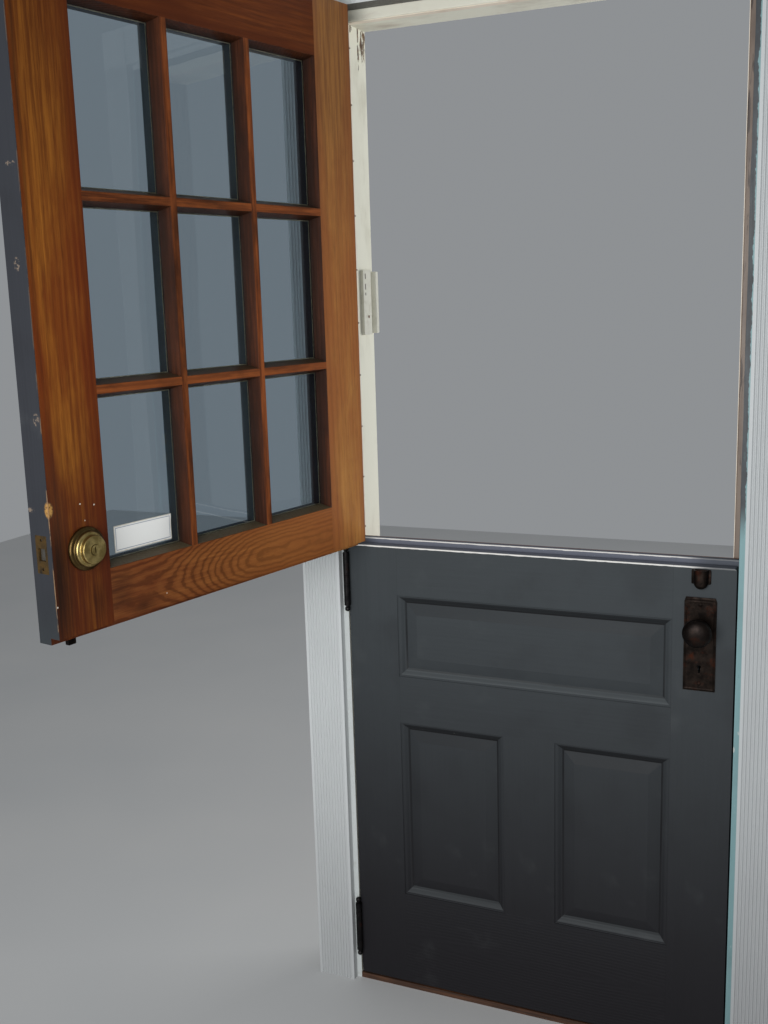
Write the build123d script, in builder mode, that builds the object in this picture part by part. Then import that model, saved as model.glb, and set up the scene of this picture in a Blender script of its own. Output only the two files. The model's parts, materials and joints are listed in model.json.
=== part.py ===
from build123d import *
import os

# Dutch stable door with its frame: two leaves, one above the other, hung on the same jamb.
# Millimetres, +Z up, X across the opening with the hinges at -X, Y from the room (-Y) outwards (+Y).
# The origin is the centre of the sill's underside. The lower leaf is closed, the upper one stands open.

# Frame
frame_depth = 140.0
jamb_thickness = 30.0
sill_height = 12.0
stop_thickness = 14.0
head_stop_height = 20.0
stop_gap = 1.0
casing_width = 83.0
casing_thickness = 16.0
casing_reveal = 11.0
flute_count = 11
flute_pitch = 6.6
flute_radius = 2.6
corner_block_extra = 4.0
fixing_hole_diameter = 6.5
fixing_hole_count = 4
fixing_hole_pitch = 530.0
fixing_hole_first = 190.0
fixing_hole_inset = 36.0

# Leaves
leaf_width = 762.0
leaf_thickness = 44.45
lower_ledge_height = 961.0
leaves_height = 1981.0
side_gap = 3.0
head_gap = 6.0
floor_gap = 4.0
split_gap = 3.0
lip_height = 10.0
ledge_depth = 26.0
lip_gap = 1.5
upper_open = 101.4

# Lower leaf: stiles, rails, mullion and three raised panels
lower_hinge_stile_width = 106.0
lower_latch_stile_width = 110.0
ledge_rail_height = 100.0
top_panel_height = 171.5
cross_rail_height = 99.5
lower_bottom_rail_height = 205.0
mullion_width = 103.6
mould_width = 12.0
mould_step = 1.5
mould_round = 7.0
panel_sink = 11.0
field_sink = 3.5
field_gap = 3.0
bevel_width = 25.0
worn_edge = 1.5

# Upper leaf: stiles, rails, glazing bars and nine panes
upper_stile_width = 105.0
upper_bottom_rail_height = 96.0
upper_top_rail_height = 103.5
bar_face = 12.6
shoulder_width = 7.0
shoulder_depth = 20.0
pane_thickness = 3.0
pane_clearance = 1.0
bead_front_edge = 0.6
pane_columns = 3
pane_rows = 3

# Ball-tipped butt hinges
hinge_height = 110.0
hinge_plate = 2.5
hinge_plate_width = 32.0
hinge_barrel_radius = 6.5
hinge_pin_radius = 3.0
hinge_pin_clearance = 0.05
hinge_pin_out = 7.5
hinge_knuckles = 5
hinge_knuckle_gap = 0.4
hinge_ball_radius = 5.6
hinge_neck_height = 3.0
hinge_from_end = 111.0
hinge_from_split = 72.0
hinge_relief = 0.6
screw_radius = 2.2
screw_head_radius = 4.2
screw_head_depth = 2.0
screw_length = 22.0
screw_clearance = 0.05
screw_tip = 1.0
screw_stagger = 4.0
hinge_washer = 1.2

# Deadbolt of the upper leaf
deadbolt_height = 136.0
backset = 61.0
rose_radius = 33.0
rose_rim = 4.0
rose_cone_radius = 27.0
rose_projection = 22.0
rose_face_radius = 21.0
rose_bore_radius = 27.0
rose_edge = 1.5
rose_boss_depth = 6.0
plug_radius = 7.5
plug_proud = 0.8
turn_clearance = 0.05
key_slot = 1.8
key_slot_height = 9.0
inner_rose_radius = 30.0
inner_rose_thickness = 9.0
turn_shaft_radius = 5.0
turn_grip_width = 34.0
turn_grip_thickness = 8.0
turn_grip_height = 15.0
turn_gap = 1.0
tailpiece_radius = 3.0
bolt_bore_radius = 12.7
bolt_width = 14.0
bolt_height = 18.0
bolt_slide_clearance = 0.4
bolt_length = 46.0
bolt_recess = 3.0
bolt_throw = 25.0
faceplate_width = 25.0
faceplate_height = 57.0
faceplate_thickness = 2.5
case_bore_clearance = 0.3
strike_thickness = 2.0
strike_width = 28.0
strike_height = 70.0
mortise_clearance = 2.0

# Mortise lock of the lower leaf
knob_below_ledge = 112.0
lock_plate_width = 57.0
lock_plate_height = 176.0
lock_plate_thickness = 3.0
lock_plate_border = 4.5
lock_plate_border_relief = 1.4
lock_plate_below_knob = 120.0
collar_radius = 15.0
collar_height = 5.0
knob_radius = 26.0
knob_neck_radius = 9.0
knob_neck_flare = 4.0
knob_reach = 56.0
knob_flat = 0.62
spindle_side = 7.6
keyhole_drop = 74.0
keyhole_radius = 4.0
keyhole_slot = 3.6
keyhole_length = 14.0
lock_case_depth = 84.0
lock_case_height = 130.0
lock_case_thickness = 16.0
lock_case_wall = 2.5
lock_face_width = 22.0
lock_face_height = 170.0
latch_height = 18.0
latch_width = 11.0
latch_length = 38.0
latch_throw = 12.0
latch_recess = 0.5

# Surface bolt on the inner face of the upper leaf, and its keeper on the lower leaf
shoot_width = 14.0
shoot_thickness = 8.0
shoot_down = 16.0
shoot_up = 21.5
shoot_hang = 20.0
shoot_overrun = 4.0
shoot_clearance = 0.5
shoot_knob_radius = 6.5
shoot_neck_radius = 3.2
bolt_plate_thickness = 2.5
bolt_plate_width = 32.0
bolt_plate_lift = 4.0
guide_wall = 2.5
guide_height = 9.0
keeper_plate_thickness = 2.0
keeper_width = 34.5
keeper_height = 36.0
keeper_drop = 4.0
keeper_loop_height = 18.0
keeper_wall = 3.0

# Nailed weatherstrips on the stops
strip_width = 16.0
strip_thickness = 1.2
strip_inset = 3.0

# Two-part contact sensor on the hinge side's stop
sensor_height = 128.0
sensor_depth = 37.0
sensor_thickness = 7.0
sensor_inset = 33.5
sensor_level = 1458.0
magnet_height = 124.0
magnet_depth = 12.0
magnet_thickness = 13.0
magnet_gap = 11.0

# Places that follow from the sizes above
hinge_edge = -leaf_width / 2
latch_edge = leaf_width / 2
room = -frame_depth / 2
outer = room + leaf_thickness
leaf_bottom = sill_height + floor_gap
ledge = leaf_bottom + lower_ledge_height
lip_top = ledge + lip_height
upper_inner_bottom = ledge + split_gap
upper_outer_bottom = lip_top + split_gap
leaves_top = leaf_bottom + leaves_height
head_underside = leaves_top + head_gap
jamb_face = leaf_width / 2 + side_gap
jamb_back = jamb_face + jamb_thickness
stop_front = outer + stop_gap
stop_width = frame_depth / 2 - stop_front
stop_face = jamb_face - stop_thickness
stop_underside = head_underside - head_stop_height
lip_front = room + ledge_depth + lip_gap
ledge_back = room + ledge_depth
pin_x = hinge_edge - side_gap / 2
pin_y = room - hinge_pin_out
hinge_axis = Axis((pin_x, pin_y, 0), (0, 0, 1))

# Levels of the hinge centres, for the two leaves
lower_hinge_levels = [leaf_bottom + hinge_from_end, ledge - hinge_from_split]
upper_hinge_levels = [upper_outer_bottom + hinge_from_split, leaves_top - hinge_from_end]
deadbolt_level = upper_inner_bottom + deadbolt_height
lock_x = latch_edge - backset
knob_level = ledge - knob_below_ledge


def room_plane(y):
    """Sketch plane that faces the room, at depth y."""
    return Plane.XZ.offset(-y)


def screw_spots(level):
    """Depths and levels of a hinge's three screws, the outer two set further back."""
    return [(room + hinge_plate_width / 2 + screw_stagger * abs(step), level + step * hinge_height / 3)
            for step in (-1, 0, 1)]


pieces = []


def keep(builder, label, swing=0.0):
    """Label a finished piece and remember it, turned about the hinge pins by swing degrees."""
    part = builder.part.rotate(hinge_axis, -swing) if swing else builder.part
    part.label = label
    pieces.append(part)


# Side jambs: plain boards with gains for the hinge plates, strike pockets and fixing holes
with BuildPart() as jamb_hinge_side:
    with BuildSketch(Plane.XY):
        with Locations((-(jamb_face + jamb_back) / 2, 0)):
            Rectangle(jamb_thickness, frame_depth)
    extrude(amount=head_underside)
    for level in lower_hinge_levels + upper_hinge_levels:
        with BuildSketch(Plane.YZ.offset(-jamb_face)):
            with Locations((room + hinge_plate_width / 2, level)):
                Rectangle(hinge_plate_width, hinge_height)
        extrude(amount=-hinge_plate, mode=Mode.SUBTRACT)
        with BuildSketch(Plane.YZ.offset(-jamb_face - hinge_plate)):
            with Locations(screw_spots(level)):
                Circle(screw_radius + screw_clearance)
        extrude(amount=-(screw_length - hinge_plate + screw_tip), mode=Mode.SUBTRACT)
    with BuildSketch(Plane.YZ.offset(-jamb_face)):
        with Locations([(room + fixing_hole_inset, fixing_hole_first + i * fixing_hole_pitch)
                        for i in range(fixing_hole_count)]):
            Circle(fixing_hole_diameter / 2)
    extrude(amount=-jamb_thickness, mode=Mode.SUBTRACT)
keep(jamb_hinge_side, "jamb_hinge_side")

strike_y = room + leaf_thickness / 2
with BuildPart() as jamb_latch_side:
    with BuildSketch(Plane.XY):
        with Locations(((jamb_face + jamb_back) / 2, 0)):
            Rectangle(jamb_thickness, frame_depth)
    extrude(amount=head_underside)
    with BuildSketch(Plane.YZ.offset(jamb_face)):
        with Locations((strike_y, knob_level), (strike_y, deadbolt_level)):
            Rectangle(strike_width, strike_height)
    extrude(amount=strike_thickness, mode=Mode.SUBTRACT)
    with BuildSketch(Plane.YZ.offset(jamb_face)):
        with Locations((strike_y, knob_level)):
            Rectangle(latch_width + 2 * mortise_clearance, latch_height + 2 * mortise_clearance)
    extrude(amount=latch_throw + mortise_clearance, mode=Mode.SUBTRACT)
    with BuildSketch(Plane.YZ.offset(jamb_face)):
        with Locations((strike_y, deadbolt_level)):
            Rectangle(bolt_width + 2 * mortise_clearance, bolt_height + 2 * mortise_clearance)
    extrude(amount=bolt_throw + mortise_clearance, mode=Mode.SUBTRACT)
    with BuildSketch(Plane.YZ.offset(jamb_face)):
        with Locations([(room + fixing_hole_inset, fixing_hole_first + i * fixing_hole_pitch)
                        for i in range(fixing_hole_count)]):
            Circle(fixing_hole_diameter / 2)
    extrude(amount=jamb_thickness, mode=Mode.SUBTRACT)
keep(jamb_latch_side, "jamb_latch_side")

with BuildPart() as jamb_head:
    with BuildSketch(Plane.XY.offset(head_underside)):
        Rectangle(2 * jamb_back, frame_depth)
    extrude(amount=jamb_thickness)
keep(jamb_head, "jamb_head")

# Low sill between the jambs, its outer edge eased to shed water
with BuildPart() as sill:
    with BuildSketch(Plane.XY):
        Rectangle(2 * jamb_face, frame_depth)
    extrude(amount=sill_height)
    chamfer(sill.edges().filter_by(Axis.X).group_by(Axis.Y)[-1].sort_by(Axis.Z)[-1], sill_height / 3)
keep(sill, "sill")

# Door stops that fill the depth of the jambs and the head behind the leaves
for side, label in ((-1, "stop_hinge_side"), (1, "stop_latch_side")):
    with BuildPart() as side_stop:
        with BuildSketch(Plane.XY.offset(sill_height)):
            with Locations((side * (jamb_face - stop_thickness / 2), stop_front + stop_width / 2)):
                Rectangle(stop_thickness, stop_width)
        extrude(amount=stop_underside - sill_height)
        inner_arris = side_stop.edges().filter_by(Axis.Z).sort_by(lambda e: abs(e.center().X))[0:2]
        fillet(inner_arris, stop_thickness / 6)
    keep(side_stop, label)

with BuildPart() as stop_head:
    with BuildSketch(Plane.YZ.offset(-jamb_face)):
        with Locations((stop_front + stop_width / 2, head_underside - head_stop_height / 2)):
            Rectangle(stop_width, head_stop_height)
    extrude(amount=2 * jamb_face)
    fillet(stop_head.edges().filter_by(Axis.X).group_by(Axis.Z)[0], stop_thickness / 6)
keep(stop_head, "stop_head")

# Thin weatherstrips nailed to the three stops, just behind their front arrises
strip_middle = stop_front + strip_inset + strip_width / 2
with BuildPart() as weatherstrips:
    with BuildSketch(Plane.XY.offset(sill_height)):
        for side in (-1, 1):
            with Locations((side * (stop_face - strip_thickness / 2), strip_middle)):
                Rectangle(strip_thickness, strip_width)
    extrude(amount=stop_underside - sill_height)
    with BuildSketch(Plane.XY.offset(stop_underside)):
        with Locations((0, strip_middle)):
            Rectangle(2 * (stop_face - strip_thickness), strip_width)
    extrude(amount=-strip_thickness)
keep(weatherstrips, "weatherstrips")

# Reeded casings on the room side, with plain square blocks where they meet the head
casing_inner = jamb_face + casing_reveal
casing_head_bottom = head_underside + casing_reveal
casing_front = room - casing_thickness


def casing_profile(centre, along_head=False):
    """Section of a reeded casing, drawn about its middle line in the active sketch."""
    flutes = [(flute_pitch * (i - (flute_count - 1) / 2), casing_thickness) for i in range(flute_count)]
    section = [(-casing_width / 2, 0), (casing_width / 2, 0),
               (casing_width / 2, casing_thickness), (-casing_width / 2, casing_thickness)]
    if along_head:
        Polygon(*[(room - t, centre + s) for s, t in section], align=None)
        with Locations([(room - t, centre + s) for s, t in flutes]):
            Circle(flute_radius, mode=Mode.SUBTRACT)
    else:
        Polygon(*[(centre + s, room - t) for s, t in section], align=None)
        with Locations([(centre + s, room - t) for s, t in flutes]):
            Circle(flute_radius, mode=Mode.SUBTRACT)


for side, label in ((-1, "casing_hinge_side"), (1, "casing_latch_side")):
    with BuildPart() as casing:
        with BuildSketch(Plane.XY):
            casing_profile(side * (casing_inner + casing_width / 2))
        extrude(amount=casing_head_bottom)
    keep(casing, label)

with BuildPart() as casing_head:
    with BuildSketch(Plane.YZ.offset(-casing_inner)):
        casing_profile(casing_head_bottom + casing_width / 2, along_head=True)
    extrude(amount=2 * casing_inner)
keep(casing_head, "casing_head")

with BuildPart() as corner_blocks:
    with BuildSketch(room_plane(room)):
        with Locations([(side * (casing_inner + casing_width / 2), casing_head_bottom + casing_width / 2)
                        for side in (-1, 1)]):
            Rectangle(casing_width, casing_width)
    extrude(amount=casing_thickness + corner_block_extra)
    chamfer(corner_blocks.faces().sort_by(Axis.Y)[0:2].edges(), corner_block_extra / 2)
keep(corner_blocks, "corner_blocks")

# Strike plates let into the latch jamb
for label, level, width, height in (
        ("latch_strike", knob_level, latch_width, latch_height),
        ("deadbolt_strike", deadbolt_level, bolt_width, bolt_height)):
    with BuildPart() as strike:
        with BuildSketch(Plane.YZ.offset(jamb_face)):
            with Locations((strike_y, level)):
                RectangleRounded(strike_width, strike_height, strike_width / 8)
                Rectangle(width + mortise_clearance, height + mortise_clearance, mode=Mode.SUBTRACT)
                with Locations((0, strike_height * 0.36), (0, -strike_height * 0.36)):
                    Circle(screw_radius, mode=Mode.SUBTRACT)
        extrude(amount=strike_thickness)
    keep(strike, label)


def hinge_half(levels, fixed):
    """Plates and knuckles of one half of each hinge, in the active part."""
    knuckle = hinge_height / hinge_knuckles
    plate_x = pin_x - side_gap / 2 - hinge_plate if fixed else pin_x + side_gap / 2
    mine = range(0 if fixed else 1, hinge_knuckles, 2)
    for level in levels:
        base = level - hinge_height / 2
        with BuildSketch(Plane.XY.offset(base)) as outline:
            with Locations((plate_x + hinge_plate / 2, room - hinge_relief)):
                Rectangle(hinge_plate, hinge_plate_width + hinge_relief, align=(Align.CENTER, Align.MIN))
        extrude(outline.sketch, amount=hinge_height)
        for i in mine:
            low = base + i * knuckle + (hinge_knuckle_gap / 2 if i else 0)
            high = base + (i + 1) * knuckle - (hinge_knuckle_gap / 2 if i < hinge_knuckles - 1 else 0)
            with BuildSketch(Plane.XY.offset(low)) as outline:
                with Locations((pin_x, pin_y)):
                    Circle(hinge_barrel_radius)
                with Locations((plate_x + hinge_plate / 2, pin_y)):
                    Rectangle(hinge_plate, room - pin_y, align=(Align.CENTER, Align.MIN))
            extrude(outline.sketch, amount=high - low)
        with BuildSketch(Plane.XY.offset(base)) as outline:
            with Locations((pin_x, pin_y)):
                Circle(hinge_pin_radius + hinge_pin_clearance)
        extrude(outline.sketch, amount=hinge_height, mode=Mode.SUBTRACT)
        seat = Plane.YZ.offset(plate_x + (hinge_plate if fixed else 0))
        into_plate = -1 if fixed else 1
        with BuildSketch(seat) as outline:
            with Locations(screw_spots(level)):
                Circle(screw_head_radius)
        extrude(outline.sketch, amount=into_plate * screw_head_depth, mode=Mode.SUBTRACT)
        with BuildSketch(seat) as outline:
            with Locations(screw_spots(level)):
                Circle(screw_radius + screw_clearance)
        extrude(outline.sketch, amount=into_plate * hinge_plate, mode=Mode.SUBTRACT)


def hinge_screws(levels, fixed):
    """Flat-headed screws through one half of each hinge, in the active part."""
    seat_x = pin_x - side_gap / 2 if fixed else pin_x + side_gap / 2
    way = -1 if fixed else 1
    for level in levels:
        for y, z in screw_spots(level):
            with BuildSketch(room_plane(y)) as outline:
                with Locations((seat_x, z)):
                    Polygon((0, 0), (0, screw_head_radius - screw_clearance),
                            (way * screw_head_depth, screw_head_radius - screw_clearance),
                            (way * screw_head_depth, screw_radius), (way * screw_length, screw_radius),
                            (way * (screw_length + screw_tip), 0), align=None)
            revolve(outline.sketch, axis=Axis((seat_x, y, z), (1, 0, 0)))


def screw_holes(levels):
    """Gains and screw holes for the hinge plates in a leaf's hinge stile, cut from the active part."""
    for level in levels:
        with BuildSketch(Plane.YZ.offset(hinge_edge)) as outline:
            with Locations((room + hinge_plate_width / 2, level)):
                Rectangle(hinge_plate_width, hinge_height)
        extrude(outline.sketch, amount=hinge_plate, mode=Mode.SUBTRACT)
        with BuildSketch(Plane.YZ.offset(hinge_edge + hinge_plate)) as outline:
            with Locations(screw_spots(level)):
                Circle(screw_radius + screw_clearance)
        extrude(outline.sketch, amount=screw_length - hinge_plate + screw_tip, mode=Mode.SUBTRACT)


all_levels = lower_hinge_levels + upper_hinge_levels
with BuildPart() as frame_hinge_plates:
    hinge_half(all_levels, fixed=True)
keep(frame_hinge_plates, "frame_hinge_plates")

with BuildPart() as frame_hinge_screws:
    hinge_screws(all_levels, fixed=True)
keep(frame_hinge_screws, "frame_hinge_screws")

with BuildPart() as lower_hinge_plates:
    hinge_half(lower_hinge_levels, fixed=False)
keep(lower_hinge_plates, "lower_hinge_plates")

with BuildPart() as lower_hinge_screws:
    hinge_screws(lower_hinge_levels, fixed=False)
keep(lower_hinge_screws, "lower_hinge_screws")

with BuildPart() as upper_hinge_plates:
    hinge_half(upper_hinge_levels, fixed=False)
keep(upper_hinge_plates, "upper_hinge_plates", upper_open)

with BuildPart() as upper_hinge_screws:
    hinge_screws(upper_hinge_levels, fixed=False)
keep(upper_hinge_screws, "upper_hinge_screws", upper_open)

# Hinge pins, each with a turned neck and a ball at both ends
with BuildPart() as hinge_pins:
    for level in all_levels:
        half = hinge_height / 2
        ball = half + hinge_neck_height + hinge_ball_radius * 0.9
        with BuildSketch(room_plane(pin_y)):
            with BuildLine():
                tip = ball + hinge_ball_radius
                waist = (hinge_ball_radius ** 2 - hinge_pin_radius ** 2) ** 0.5
                Polyline((pin_x, level - tip), (pin_x, level + tip))
                ThreePointArc((pin_x, level + tip), (pin_x + hinge_ball_radius, level + ball),
                              (pin_x + hinge_pin_radius, level + ball - waist))
                Polyline((pin_x + hinge_pin_radius, level + ball - waist),
                         (pin_x + hinge_pin_radius, level + half + hinge_washer),
                         (pin_x + hinge_barrel_radius * 0.8, level + half + hinge_washer),
                         (pin_x + hinge_barrel_radius * 0.8, level + half),
                         (pin_x + hinge_pin_radius, level + half),
                         (pin_x + hinge_pin_radius, level - half),
                         (pin_x + hinge_barrel_radius * 0.8, level - half),
                         (pin_x + hinge_barrel_radius * 0.8, level - half - hinge_washer),
                         (pin_x + hinge_pin_radius, level - half - hinge_washer),
                         (pin_x + hinge_pin_radius, level - ball + waist))
                ThreePointArc((pin_x + hinge_pin_radius, level - ball + waist),
                              (pin_x + hinge_ball_radius, level - ball), (pin_x, level - tip))
            make_face()
        revolve(axis=hinge_axis)
keep(hinge_pins, "hinge_pins")

# Lower leaf: the top of both stiles and of the top rail is rebated to a ledge and an outer lip
ledge_cut = [(room, ledge), (ledge_back + lip_gap, ledge), (ledge_back + lip_gap, lip_top), (room, lip_top)]
stile_top = lip_top - leaf_bottom
panels_left = hinge_edge + lower_hinge_stile_width
panels_right = latch_edge - lower_latch_stile_width
top_panel_top = ledge - ledge_rail_height
top_panel_bottom = top_panel_top - top_panel_height
low_panel_top = top_panel_bottom - cross_rail_height
low_panel_bottom = leaf_bottom + lower_bottom_rail_height
mullion_left = (panels_left + panels_right - mullion_width) / 2
mullion_right = mullion_left + mullion_width

with BuildPart() as lower_hinge_stile:
    with BuildSketch(Plane.XY.offset(leaf_bottom)):
        with Locations((hinge_edge, room)):
            Rectangle(lower_hinge_stile_width, leaf_thickness, align=(Align.MIN, Align.MIN))
    extrude(amount=stile_top)
    with BuildSketch(Plane.YZ.offset(hinge_edge)):
        Polygon(*ledge_cut, align=None)
    extrude(amount=lower_hinge_stile_width, mode=Mode.SUBTRACT)
    screw_holes(lower_hinge_levels)
keep(lower_hinge_stile, "lower_hinge_stile")

case_back = latch_edge - lock_case_depth
case_bottom = knob_level - lock_plate_below_knob + (lock_plate_height - lock_case_height) / 2
keyhole_level = knob_level - keyhole_drop
middle = room + leaf_thickness / 2


def keyhole(y, depth):
    """Keyhole cut in the active part: a round eye over a narrow slot."""
    with BuildSketch(room_plane(y)) as outline:
        with Locations((lock_x, keyhole_level)):
            Circle(keyhole_radius)
            Rectangle(keyhole_slot, keyhole_length, align=(Align.CENTER, Align.MAX))
    extrude(outline.sketch, amount=-depth, mode=Mode.SUBTRACT)


with BuildPart() as lower_latch_stile:
    with BuildSketch(Plane.XY.offset(leaf_bottom)):
        with Locations((latch_edge, room)):
            Rectangle(lower_latch_stile_width, leaf_thickness, align=(Align.MAX, Align.MIN))
    extrude(amount=stile_top)
    with BuildSketch(Plane.YZ.offset(panels_right)):
        Polygon(*ledge_cut, align=None)
    extrude(amount=lower_latch_stile_width, mode=Mode.SUBTRACT)
    with BuildSketch(Plane.YZ.offset(latch_edge)):
        with Locations((middle, case_bottom + lock_case_height / 2)):
            Rectangle(lock_face_width, lock_face_height)
    extrude(amount=-faceplate_thickness, mode=Mode.SUBTRACT)
    with BuildSketch(Plane.YZ.offset(latch_edge)):
        with Locations((middle, case_bottom + lock_case_height / 2)):
            Rectangle(lock_case_thickness, lock_case_height)
    extrude(amount=-lock_case_depth, mode=Mode.SUBTRACT)
    with BuildSketch(room_plane(room)):
        with Locations((lock_x, knob_level)):
            Circle(collar_radius)
    extrude(amount=-leaf_thickness, mode=Mode.SUBTRACT)
    keyhole(room, leaf_thickness)
    ledge_corner = lower_latch_stile.edges().filter_by(Axis.Y).group_by(Axis.Z)[-2].sort_by(Axis.X)[-1]
    fillet(ledge_corner, lip_height / 2)
keep(lower_latch_stile, "lower_latch_stile")

with BuildPart() as lower_top_rail:
    with BuildSketch(Plane.YZ.offset(panels_left)):
        Polygon((room, top_panel_top), (outer, top_panel_top), (outer, lip_top),
                (ledge_back + lip_gap, lip_top), (ledge_back + lip_gap, ledge), (room, ledge), align=None)
    extrude(amount=panels_right - panels_left)
keep(lower_top_rail, "lower_top_rail")

for label, low, high in (("lower_cross_rail", low_panel_top, top_panel_bottom),
                         ("lower_bottom_rail", leaf_bottom, low_panel_bottom)):
    with BuildPart() as rail:
        with BuildSketch(Plane.YZ.offset(panels_left)):
            with Locations((room, low)):
                Rectangle(leaf_thickness, high - low, align=(Align.MIN, Align.MIN))
        extrude(amount=panels_right - panels_left)
    keep(rail, label)

with BuildPart() as lower_mullion:
    with BuildSketch(Plane.XY.offset(low_panel_bottom)):
        with Locations((mullion_left, room)):
            Rectangle(mullion_width, leaf_thickness, align=(Align.MIN, Align.MIN))
    extrude(amount=low_panel_top - low_panel_bottom)
keep(lower_mullion, "lower_mullion")

# Openings of the three panels: left, right, bottom, top
openings = {
    "lower_top_panel": (panels_left, panels_right, top_panel_bottom, top_panel_top),
    "lower_left_panel": (panels_left, mullion_left, low_panel_bottom, low_panel_top),
    "lower_right_panel": (mullion_right, panels_right, low_panel_bottom, low_panel_top),
}


def window(bounds, inset=0.0, mode=Mode.ADD):
    """Rectangle of an opening, in the active sketch on a room plane, inset on all sides."""
    left, right, bottom, top = bounds
    with Locations(((left + right) / 2, (bottom + top) / 2)):
        Rectangle(right - left - 2 * inset, top - bottom - 2 * inset, mode=mode)


# Raised and fielded panels: a flat margin behind the mouldings, and a bevel up to the field on both faces
panel_front = room + panel_sink
panel_rear = outer - panel_sink
for label, bounds in openings.items():
    with BuildPart() as panel:
        with BuildSketch(room_plane(panel_front)):
            window(bounds)
        extrude(amount=-(panel_rear - panel_front))
        for plane, face_plane in ((room_plane(panel_front), room_plane(room + field_sink)),
                                  (room_plane(panel_rear), room_plane(outer - field_sink))):
            with BuildSketch(plane):
                window(bounds, mould_width + field_gap)
            with BuildSketch(face_plane):
                window(bounds, mould_width + field_gap + bevel_width)
            loft()
    keep(panel, label)

# Planted mouldings round each panel: a small step down from the stile, then a quarter round
for label, near, way in (("lower_mouldings_room", room, 1), ("lower_mouldings_outer", outer, -1)):
    with BuildPart() as mouldings:
        for bounds in openings.values():
            with BuildSketch(room_plane(near + way * panel_sink)):
                window(bounds)
                window(bounds, mould_width, mode=Mode.SUBTRACT)
            extrude(amount=way * (panel_sink - mould_step))
        face = mouldings.faces().filter_by(Axis.Y).group_by(Axis.Y)[0 if way > 0 else -1]
        rounds = [wire.edges() for f in face for wire in f.inner_wires()]
        fillet([edge for group in rounds for edge in group], mould_round)
    keep(mouldings, label)

# Mortise lock: a thin case in the latch stile, with its face in the leaf's edge
hub_radius = spindle_side * 0.75
with BuildPart() as lock_case:
    with BuildSketch(Plane.YZ.offset(latch_edge)):
        with Locations((middle, case_bottom + lock_case_height / 2)):
            Rectangle(lock_face_width, lock_face_height)
    extrude(amount=-faceplate_thickness)
    with BuildSketch(Plane.YZ.offset(latch_edge - faceplate_thickness)):
        with Locations((middle, case_bottom + lock_case_height / 2)):
            Rectangle(lock_case_thickness, lock_case_height)
    extrude(amount=-(lock_case_depth - faceplate_thickness))
    with BuildSketch(Plane.YZ.offset(latch_edge)):
        with Locations((middle, knob_level)):
            Rectangle(latch_width + 2 * bolt_slide_clearance, latch_height + 2 * bolt_slide_clearance)
    extrude(amount=-(latch_length + latch_recess + bolt_slide_clearance), mode=Mode.SUBTRACT)
    with BuildSketch(room_plane(room)):
        with Locations((lock_x, knob_level)):
            Circle(hub_radius)
    extrude(amount=-leaf_thickness, mode=Mode.SUBTRACT)
    keyhole(room, leaf_thickness)
keep(lock_case, "lock_case")

# Latch bolt, bevelled on its outer side, held back inside the case
with BuildPart() as latch_bolt:
    with BuildSketch(Plane.XY.offset(knob_level - latch_height / 2)):
        with Locations((latch_edge - latch_recess, middle)):
            Rectangle(latch_length, latch_width, align=(Align.MAX, Align.CENTER))
    extrude(amount=latch_height)
    nose = latch_bolt.edges().filter_by(Axis.Z).group_by(Axis.X)[-1].sort_by(Axis.Y)[0]
    chamfer(nose, latch_width * 0.7)
keep(latch_bolt, "latch_bolt")

# Cast lock plates on both faces, with a raised border, a collar for the knob and a keyhole
plate_centre = knob_level - lock_plate_below_knob + lock_plate_height / 2
for label, near, way in (("lock_plate_room", room, 1), ("lock_plate_outer", outer, -1)):
    with BuildPart() as plate:
        with BuildSketch(room_plane(near)):
            with Locations((lock_x, plate_centre)):
                RectangleRounded(lock_plate_width, lock_plate_height, lock_plate_border)
        extrude(amount=way * lock_plate_thickness)
        with BuildSketch(room_plane(near - way * lock_plate_thickness)):
            with Locations((lock_x, plate_centre)):
                RectangleRounded(lock_plate_width, lock_plate_height, lock_plate_border)
                Rectangle(lock_plate_width - 2 * lock_plate_border,
                          lock_plate_height - 2 * lock_plate_border, mode=Mode.SUBTRACT)
        extrude(amount=way * lock_plate_border_relief)
        with BuildSketch(room_plane(near)):
            with Locations((lock_x, knob_level)):
                Circle(collar_radius)
        extrude(amount=way * (lock_plate_thickness + collar_height))
        with BuildSketch(room_plane(near)):
            with Locations((lock_x, knob_level)):
                Circle(knob_neck_radius + turn_clearance)
        extrude(amount=way * (lock_plate_thickness + collar_height), mode=Mode.SUBTRACT)
        keyhole(near - way * (lock_plate_thickness + collar_height),
                way * (lock_plate_thickness + collar_height))
    keep(plate, label)

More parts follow.
